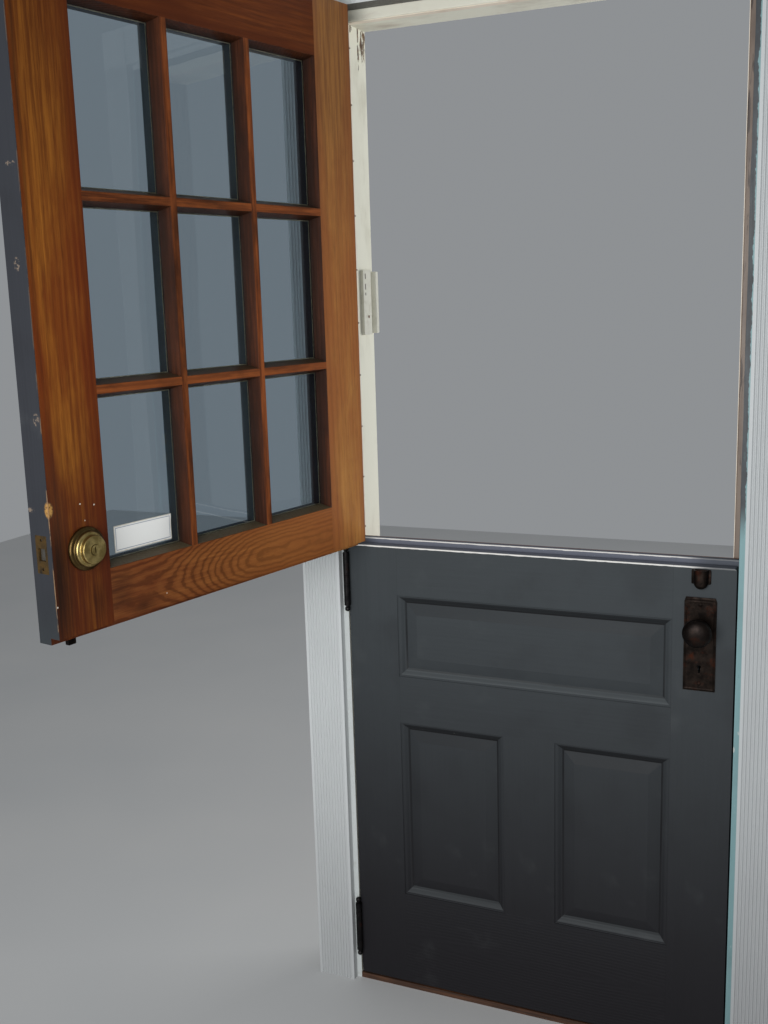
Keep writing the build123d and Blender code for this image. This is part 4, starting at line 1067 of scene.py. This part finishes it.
@dataclass
class LowerLeaf:
    """Closed lower leaf: stiles, rails, mullion, three raised panels and the mouldings round them."""

    ogee: tuple[Pair, ...] = ((0, -0.059), (0, -0.0686), (0.0012, -0.0686), (0.0016, -0.068), (0.004, -0.0676),
                              (0.007, -0.066), (0.01, -0.0634), (0.0128, -0.0612), (0.0155, -0.0602),
                              (0.017, -0.0596), (0.017, -0.059))

    def build(self) -> None:
        """Dress the boards and run the mouldings."""
        lines = (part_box("lower_hinge_stile")[1].x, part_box("lower_latch_stile")[0].x)
        boards = (("hinge_stile", 0.3), ("latch_stile", 0.3), ("top_rail", 0.2), ("cross_rail", 0.3),
                  ("bottom_rail", 1.6), ("mullion", 0.3), ("top_panel", 0.3), ("left_panel", 0.1),
                  ("right_panel", 0.1), ("mouldings_outer", 0.2))
        rings = []
        for count, (part, relief) in enumerate(boards, 1):
            name, rail = "lower_" + part, "rail" in part
            low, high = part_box(name)
            grain = Grain.ACROSS if rail or part in ("top_panel", "mouldings_outer") else Grain.UPRIGHT
            first, last = (low.x, high.x) if grain is Grain.UPRIGHT else (low.z, high.z)
            figure = {"tilt": 4, "depth": 0.02, "aside": 0} if part == "bottom_rail" else {}
            paint, side = LeafPaint(), Side.PANEL if "mould" in part else Side.RAIL
            if "panel" in part:
                # The panels' up-facing bevels are darkened as painted shade.
                paint, side = LeafPaint(up_face_shading=0.5, dust="1e1e20", under_face_shade=0), Side.PANEL
                rings.append(framed(self.ogee, (low.x, low.z), (high.x, high.z)))
            finish = BoardFinish(grain, side, 0.37 * count, (first + last) / 2, (last - first) / 2, paint,
                                 Varnish("925a24", "7c481c", "643615", "703616", **figure), lines if rail else (),
                                 ledge="stile" in part or part == "top_rail", relief=relief, sheen=0.12)
            dress(finish.make(name + "_finish"), name)
        # The room mouldings get a painted highlight on up faces, painted shade on down faces and painted shade in
        # their recess.
        finish = BoardFinish(Grain.ACROSS, Side.PANEL, 0.2, sheen=0.1,
                             paint=LeafPaint(up_face_shading=0.22, recess_shade=(-0.0618, -0.0603)))
        joined(*rings).object("panel_mouldings_room", "lower_leaf", "leaf_paint", finish.make("moulding_paint"),
                              "lower_mouldings_room")


@dataclass
class KnobLock:
    """Mortise lock with two knobs, cast plates, latch and the keeper of the shoot. Profiles in millimetres."""

    knob_profile: tuple[Pair, ...] = (
        (0.0006, 56), (8, 55.6), (15, 54.2), (20.5, 51.6), (24.2, 48), (26, 43.6), (25.6, 39.6), (23, 36.2),
        (18, 33.2), (13, 30.6), (10.4, 27), (9.4, 22), (9.4, 15), (10.4, 11.6), (13.6, 10.4), (15, 8.6),
        (15, 7.6), (15, 3.2))
    collar_profile: tuple[Pair, ...] = ((16.4, 0.4), (16.4, 2.6), (15.8, 4.2), (14, 5), (9.6, 5), (9.6, 0.4))
    key_drop: float = 0.074
    plate_thick: float = 0.003
    border_in: float = 0.0032
    border_wide: float = 0.0011
    border_rise: float = 0.0006
    rows: int = 12
    rim_rows: int = 22
    columns: int = 192
    screw_in: float = 0.0135
    pocket_half: float = 0.013
    pocket_wall: float = 0.0016
    keeper_tall: float = 0.0274
    corner_power: float = 0.16

    def keyhole(self, angle: np.ndarray) -> np.ndarray:
        """Outline of the keyhole in x and z, by angle: a disc of 3.2 mm that runs down into a slot of 3 mm."""
        slot = np.stack([np.clip(0.01 * np.cos(angle), -0.0015, 0.0015), np.full_like(angle, -0.012)], -1)
        return np.where((np.sin(angle) < -0.62)[:, None], slot, 0.0032 * np.stack([np.cos(angle), np.sin(angle)], -1))

    def plate(self, way: float, face: float, node: str, key_level: float) -> Form:
        """Cast plate: points run from the keyhole's outline to the plate's, and its height is a rim bead.

        Args:
            way: -1 for the room side, 1 for the outer side.
            face: Y of the leaf's face.
            node: CAD node of the plate.
            key_level: Height of the keyhole.

        Returns:
            The plate in place.
        """
        low, high = (np.array([corner.x, corner.z]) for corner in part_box(node))
        key = np.array([(low[0] + high[0]) / 2, key_level])
        angle = around(self.columns) + 0.001
        hole = self.keyhole(angle) + key
        ray = np.stack([np.cos(angle), np.sin(angle)], -1)
        rim = ray * (np.where(ray > 0, high - key, low - key) / ray).min(1, keepdims=True) + key
        share = np.concatenate([np.linspace(0, 0.8, self.rows), np.linspace(0.815, 1, self.rim_rows)])
        share = share[:, None, None]
        flat = hole[None] * (1 - share) + rim[None] * share
        inset = np.minimum(flat - low, high - flat).min(-1)
        across, up = flat[..., 0] - key[0], flat[..., 1] - key_level
        figure = 0.3 * np.cos(np.pi * (across / 0.01)) * np.cos(FULL_TURN * up / 0.024)
        figure = figure * np.clip((inset - 0.011) / 0.003, 0, 1)
        relief = bell(inset, self.border_in, self.border_wide) + 0.5 * bell(inset, 0.0085, 0.0009) + figure
        relief = relief + 0.6 * bell(np.hypot(across, (up + 0.004) * 0.55), 0.0062, 0.0012)
        height = self.plate_thick - 0.0006 + self.border_rise * relief
        height = np.where(inset < 0.0004, self.plate_thick - 0.001, height)
        flat = np.concatenate([hole[None], flat, rim[None]])
        points = upright(flat, face + way * np.pad(height, ((1, 1), (0, 0))))
        return Form(points, grid_faces(len(flat), self.columns, True, True)).facing_out()

    def keeper(self) -> Form:
        """Keeper of the shoot: a plate, and on it an open-topped pocket with a round foot.

        A level of the pocket is x = half * |cos t|^(2/3) either way and depth * |sin t|^(2/3) towards the room. Near
        the foot the half width shrinks as the root of 1 - u^2 and the depth as the cube root of 1 - v^3. The inner
        wall is the same, smaller by the wall.

        Returns:
            The keeper in place.
        """
        low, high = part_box("bolt_keeper")
        middle, face = (low.x + high.x) / 2, high.y
        angle = np.linspace(0, np.pi, 29)
        turn = np.concatenate([[0], np.linspace(0, 0.5 * np.pi - 0.05, 16)])
        walls = []
        for inset in (0, self.pocket_wall):
            half, depth, tall = self.pocket_half - inset, face - low.y - inset, high.z - low.z - 0.0002 - inset
            drop = tall - half * (1 - np.sin(turn))
            drop[0] = 0
            deep = depth * (1 - np.clip((drop - tall + 0.0098) / 0.01, 0, 1) ** 3) ** (1 / 3)
            wide, deep, level = (row[:, None] for row in (half * np.cos(turn), deep, high.z - drop))
            walls.append(np.stack([middle + wide * squared(np.cos(angle), 2 / 3),
                                   face - deep * squared(np.sin(angle), 2 / 3),
                                   np.repeat(level, len(angle), 1)], -1))
        pocket = np.concatenate([walls[0][::-1], walls[1]])
        shell = Form(pocket.reshape(-1, 3), grid_faces(len(pocket), len(angle), True, True)).facing_out()
        corner, half, tall = around(48), (high.x - low.x) / 2, self.keeper_tall / 2
        rows = [np.stack([middle + (half - inset) * squared(np.cos(corner), self.corner_power),
                          np.full_like(corner, face - rise),
                          high.z - tall + (tall - inset) * squared(np.sin(corner), self.corner_power)], -1)
                for inset, rise in ((0, 0), (0, 0.0015), (0.0005, 0.002))]
        return joined(shell, Form(np.concatenate(rows), capped_faces(len(rows), len(corner))).facing_out())

    def build(self) -> None:
        """Turn the knobs, cast the plates and dress the rest of the lock."""
        cast = Metal("261f1b", "171311", "3c1f14", 0.34, (0.42, 0.6), 0.96, 0.5, 70).make("lock_dark_bronze")
        smooth = Metal("26201d", "191514", "321c14", 0.25, (0.36, 0.5), 0.95, 0.2, 60).make("knob_dark_bronze")
        steel = Metal("54504c", "2e2b28", "482e20", 0.35, (0.4, 0.6)).make("lock_steel")
        dress(cast, "knob_spindle", "bolt_plate", "bolt_shoot", smooth=True)
        dress(steel, "lock_case", "latch_bolt", "latch_strike", smooth=True)
        self.keeper().object("cast_keeper", "lower_leaf", "bronze", cast, "bolt_keeper")
        low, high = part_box("knob_room")
        level, across = (low.z + high.z) / 2, (low.x + high.x) / 2
        knob, collar = turned(eased(self.knob_profile, 2), 64), turned(eased(self.collar_profile, 1), 48)
        screw = turned(domed(0.0034, 0.0011, 0.96, 0.05, 7), 24)
        for way, side, corner in ((-1, "room", 0), (1, "outer", 1)):
            face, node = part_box("lower_latch_stile")[corner].y, "lock_plate_" + side
            low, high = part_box(node)
            seat, turn = face + way * 0.0027, -90 * way
            parts = [self.plate(way, face, node, level - self.key_drop), collar.set_at((across, face, level), turn)]
            parts += [screw.set_at(((low.x + high.x) / 2, seat, at), turn)
                      for at in (high.z - self.screw_in, low.z + self.screw_in)]
            joined(*parts).object("cast_plate_" + side, "lower_leaf", "bronze", cast, node)
            knob.set_at((across, face, level), turn).object("turned_knob_" + side, "knobs", "bronze", smooth,
                                                            "knob_" + side)


@dataclass
class UpperLeaf:
    """Open upper leaf: glazed in nine panes, varnished outside and painted inside."""

    columns: int = 3
    rows: int = 3
    glass_room: float = -0.05
    glass_outer: float = -0.047
    opening_low: Pair = (-0.276, 1.076)
    opening_high: Pair = (0.276, 1.8935)
    bar: float = 0.0126
    shoulder: float = 0.007
    putty: float = 0.0017
    label_low: Pair = (0.1245, 1.091)
    label_high: Pair = (0.2455, 1.133)
    label_thick: float = 0.00015

    def putty_lines(self) -> Form:
        """Scraped putty in the corner between each pane and its shoulder, carried round the pane.

        Returns:
            All the lines on the open leaf.
        """
        size, room = self.putty, self.glass_room
        profile = [(0, room), (0, room - size), (size * 0.35, room - size * 0.45), (size, room)]
        low, count = np.array(self.opening_low), np.array([self.columns, self.rows])
        pane = (np.array(self.opening_high) - low - (count - 1) * self.bar) / count
        corners = [low + (x, z) * (pane + self.bar) for z in range(self.rows) for x in range(self.columns)]
        return joined(*(framed(profile, corner + self.shoulder, corner + pane - self.shoulder)
                        for corner in corners)).swung_open()

    def label(self) -> Form:
        """Blank label on the glass: a thin sheet that lifts as a cosine at one corner.

        Returns:
            The label on the open leaf.
        """
        across, up = 25, 11
        u, v = np.meshgrid(np.linspace(0, 1, across), np.linspace(0, 1, up), indexing="ij")
        flat = np.array(self.label_low) + np.stack([u, v], -1) * np.subtract(self.label_high, self.label_low)
        lift = 0.0006 * (1 - np.cos(np.pi * np.clip((v - u - 0.55) / 0.45, 0, 1)))
        near = self.glass_outer + 0.00005 + lift
        number = np.arange(across * up).reshape(across, up)
        rim = np.concatenate([number[0], number[1:, -1], number[-1, -2::-1], number[-2:0:-1, 0]])
        following = np.roll(rim, -1)
        sides = np.stack([rim, following, following + number.size, rim + number.size], -1).tolist()
        top = grid_faces(across, up)
        bottom = (np.array(top)[:, ::-1] + number.size).tolist()
        points = np.concatenate([upright(flat, near + self.label_thick), upright(flat, near)])
        return Form(points, top + bottom + sides).facing_out().swung_open()

    def build(self) -> None:
        """Dress the boards, bed the panes and stick the label."""
        paint = LeafPaint("34363b", "353a3c", 0.9, 1.1)
        # Bars and beads get a paler copy of the slate paint: painted light on their room side.
        pale = LeafPaint("646a69", "626867", 0.9, 1.1)
        hinge = Varnish("b27c3e", "a26e36", "86562a", "8e542a", rings=0.12)
        cathedral = Varnish("945c2e", "7e4a24", "62341a", "6c361a", tilt=0, depth=0, aside=0.006, spacing=0.005,
                            waver=5.4, bend=34, rings=0.5, swell=(-0.09, 0.2, 0.009, 0.064))
        # The top rail gets a darker varnish than the stiles: painted shade.
        top = Varnish("703c18", "5a2c12", "401e0d", "4c220e")
        dark = Varnish("8e4e26", "5e2e16", "34180d", "3e1c0e")
        grimy = Varnish("5c321c", "3e2114", "24140d", "321a10")
        plain, speck = (1, 1), ("d6cec0", False)
        # The first two marks darken the latch stile at its top and at its foot: painted shade. The others are stains,
        # lines and specks.
        lock_stains_and_shade = ((0.338, 1.94, 0.13, (1.2, 2), 0.9, "4e260a"), (0.33, 1.07, 0.105, (1.1, 1.7), 0.9, "482011"),
                       (0.37, 1.13, 0.016, (1, 8), 0.6, "34261b"), (0.376, 1.055, 0.026, (0.8, 2.6), 0.8),
                       (0.368, 1.108, 0.016, (0.7, 2.2), 0.5), (0.301, 1.032, 0.012, (1, 2), 0.5),
                       (0.372, 1.74, 0.0035, (0.7, 70), 0.7), (0.2765, 1.49, 0.0075, (1, 70), 0.5, "4a1e0e"),
                       (0.3234, 1.1833, 0.0013, plain, 0.9, *speck), (0.2975, 1.1782, 0.0013, plain, 0.9, *speck),
                       (0.3167, 1.1574, 0.001, plain, 0.8, *speck), (0.379, 1.0395, 0.0014, plain, 0.8, *speck))
        # Two broad marks are painted light: a dark patch at the rail's latch end and a light patch at its hinge end,
        # where daylight from the doorway falls. The rest are stains and a speck.
        rail_stains_and_light = ((0.26, 1.036, 0.017, (1.3, 1.6), 0.65), (0.2165, 1, 0.01, (2.2, 0.8), 0.6),
                       (0.25, 1.03, 0.06, (1.5, 1.2), 0.35, "502614"), (0.1636, 1.0108, 0.0011, plain, 0.8, *speck),
                       (0.07, 0.985, 0.012, (14, 0.5), 0.4), (-0.22, 1.03, 0.13, (1.3, 1.2), 0.4, "b0703a"))
        # Painted shade: the hinge stile goes darker at its top.
        hinge_top_shade = ((-0.328, 1.95, 0.13, (1, 2.2), 0.8, "603c20"),)
        bar_stains = ((0, 1.6231, 0.016, (30, 1), 0.45, "28160e"), (0, 1.3464, 0.016, (30, 1), 0.45, "804826"),
                      (0, 1.6231, 0.008, (3, 1.2), 0.8))
        stile, rail, any_width = (0.3285, 0.0525), 0.052, (0, 9)
        boards = (("upper_hinge_stile", Grain.UPRIGHT, (-stile[0], stile[1]), hinge, hinge_top_shade, paint, 0.22),
                  ("upper_latch_stile", Grain.UPRIGHT, stile, Varnish(), lock_stains_and_shade, paint, 0.1),
                  ("upper_meeting_rail", Grain.ACROSS, (1.03, rail), cathedral, rail_stains_and_light, paint, 0.14),
                  ("upper_top_rail", Grain.ACROSS, (1.945, rail), top, (), paint, 0.08),
                  ("vertical_bars", Grain.UPRIGHT, any_width, dark, (), pale, 0.1),
                  ("horizontal_bars", Grain.ACROSS, any_width, dark, bar_stains, pale, 0.1),
                  ("glazing_beads", Grain.UPRIGHT, any_width, grimy, (), pale, 0.08))
        for count, (name, grain, width, wood, stains, coat, sheen) in enumerate(boards, 1):
            finish = BoardFinish(grain, Side.SASH, 0.61 * count, *width, coat, wood, (),
                                 tuple(StainAndShade(*row) for row in stains), free_edge=name == "upper_latch_stile",
                                 dusty=name == "glazing_beads", shaded_bars=coat is pale, relief=0.5, sheen=sheen)
            dress(finish.make(name + "_finish"), name)
        dress(WindowGlass().make("window_glass"), "glass_panes")
        putty = Plastic("c4b492", "70604a", 0.6, 120).make("scraped_putty")
        self.putty_lines().object("putty_lines", "upper_leaf", "white_plastic", putty)
        centre = tuple((a + b) / 2 for a, b in zip(self.label_low, self.label_high))
        half = tuple((b - a) / 2 for a, b in zip(self.label_low, self.label_high))
        self.label().object("blank_label", "upper_leaf", "white_plastic", LabelPaper(centre, half).make("label_paper"))


@dataclass
class Deadbolt:
    """Deadbolt of the upper leaf: stepped rose outside, thumb turn inside. Profile in millimetres."""

    across: float = 0.32
    level: float = 1.116
    face: float = -0.02555
    rose_profile: tuple[Pair, ...] = (
        (8, 15), (8, 21.6), (8.5, 22), (9.5, 22), (11.2, 22), (11.5, 21.8), (11.8, 22), (12.8, 22),
        (14.7, 22), (15, 21.8), (15.3, 22), (16.8, 22), (18.4, 22), (18.7, 21.8), (19, 22), (20, 22),
        (21.1, 21.4), (21.6, 20.2), (21.7, 18), (21.7, 15.4), (22.2, 14.2), (23.6, 13.8), (25.4, 13.2), (26.4, 11.8),
        (26.7, 10), (26.9, 8.4), (27.6, 7.2), (29, 6.9), (31, 6.4), (32.4, 5.2), (33, 3.4), (33, 0.1),
        (30, 0.05))

    def build(self) -> None:
        """Turn the rose and dress the rest."""
        brass = Metal("c6b074", "94804e", "3a2612", 0.35, (0.28, 0.44), 1, 0.12, 70,
                      (self.face + 0.0065, self.face + 0.015)).make("aged_brass")
        dress(brass, "thumb_rose", "key_plug", "thumb_turn", "deadbolt_strike", smooth=True)
        worn = Metal("7c6036", "5c4a30", "3a342c", 0.6, (0.4, 0.6), 0.9, 0.4, 110)
        dress(worn.make("worn_brass"), "deadbolt_case", smooth=True)
        dress(Metal("96928a", "6e6a62", "604e38", 0.2).make("bolt_steel"), "deadbolt")
        rose = turned(eased(self.rose_profile, 1), 72).set_at((self.across, self.face, self.level), -90)
        rose.swung_open().object("turned_rose", "upper_leaf", "brass", brass, "deadbolt_rose")


@dataclass
class Studio:
    """Pale floor, soft light and the camera. Angles in degrees."""

    focal_px: float = 1119.68
    image_long: float = 1024
    sensor: float = 36
    place: Triple = (0.5892, -2.0789, 1.4672)
    yaw: float = 23.827
    pitch: float = 10.834
    roll: float = 1.714
    floor_size: float = 9
    air: Colour = "dee2e6"
    air_strength: float = 0.37

    def camera(self) -> None:
        """Set the camera: turned by its roll about its own axis, tipped up by its pitch, then turned by its yaw."""
        data = bpy.data.cameras.new("camera")
        data.sensor_width = self.sensor
        data.lens = self.focal_px / self.image_long * self.sensor
        made = shown("camera", data)
        made.matrix_world = Matrix.Translation(self.place)
        for turn, axis in ((self.yaw, "Z"), (90 - self.pitch, "X"), (-self.roll, "Z")):
            made.matrix_world = made.matrix_world @ Matrix.Rotation(math.radians(turn), 4, axis)
        bpy.context.scene.camera = made

    def lamp(self, name: str, place: Triple, aim: Triple, size: float, power: float, mirrored: bool = True) -> None:
        """Hang one soft square lamp.

        Args:
            name: Name of the lamp.
            place: Its place in metres.
            aim: Point that it faces.
            size: Side of the lamp in metres.
            power: Its power in watts.
            mirrored: Whether glossy faces show it.
        """
        data = bpy.data.lights.new(name, "AREA")
        data.shape, data.size, data.energy = "SQUARE", size, power
        made = shown(name, data)
        turn = (Vector(aim) - Vector(place)).to_track_quat("-Z", "Y").to_matrix().to_4x4()
        made.matrix_world = Matrix.Translation(place) @ turn
        made.visible_camera = False
        made.visible_glossy = made.visible_transmission = mirrored

    def floor(self) -> None:
        """Lay the floor: a flat grid at the level of the sill's underside."""
        span = np.linspace(-self.floor_size / 2, self.floor_size / 2, 3)
        x, y = np.meshgrid(span, span, indexing="ij")
        mesh = bpy.data.meshes.new("studio_floor")
        mesh.from_pydata(np.stack([x, y, np.zeros_like(x)], -1).reshape(-1, 3), [],
                         [face[::-1] for face in grid_faces(3, 3)])
        shader = Shader("studio_floor_grey")
        shade = shader.place.noise(1.5, 2).ramp((0.3, "c6c7c7"), (0.7, "cccccb"))
        mesh.materials.append(shader.finish(shade, 0.8))
        shown("studio_floor", mesh)

    def build(self) -> None:
        """Set up the studio."""
        self.camera()
        self.floor()
        world = bpy.data.worlds.new("studio_air")
        world.use_nodes = True
        background = world.node_tree.nodes["Background"]
        background.inputs["Color"].default_value = tint(self.air)
        background.inputs["Strength"].default_value = self.air_strength
        self.lamp("key", (-0.05, -2.35, 1.4), (0, 0, 1.15), 1.5, 38)
        self.lamp("doorway", (2.2, 2.6, 0.9), (-0.4, 0, 1.2), 2.2, 108, False)
        bpy.context.scene.world = world
        bpy.context.scene.view_settings.view_transform = "Standard"


def main() -> None:
    """Build every sub-assembly in order and report it."""
    logging.basicConfig(level=logging.INFO, format="%(name)s %(message)s")
    for part in (Studio(), Casings(), Jambs(), Weatherstrip(), ContactFitting(), Ironwork(), LowerLeaf(), KnobLock(),
                 UpperLeaf(), Deadbolt()):
        part.build()
        LOG.info("built: %s", type(part).__doc__.splitlines()[0])


if __name__ == "__main__":
    main()
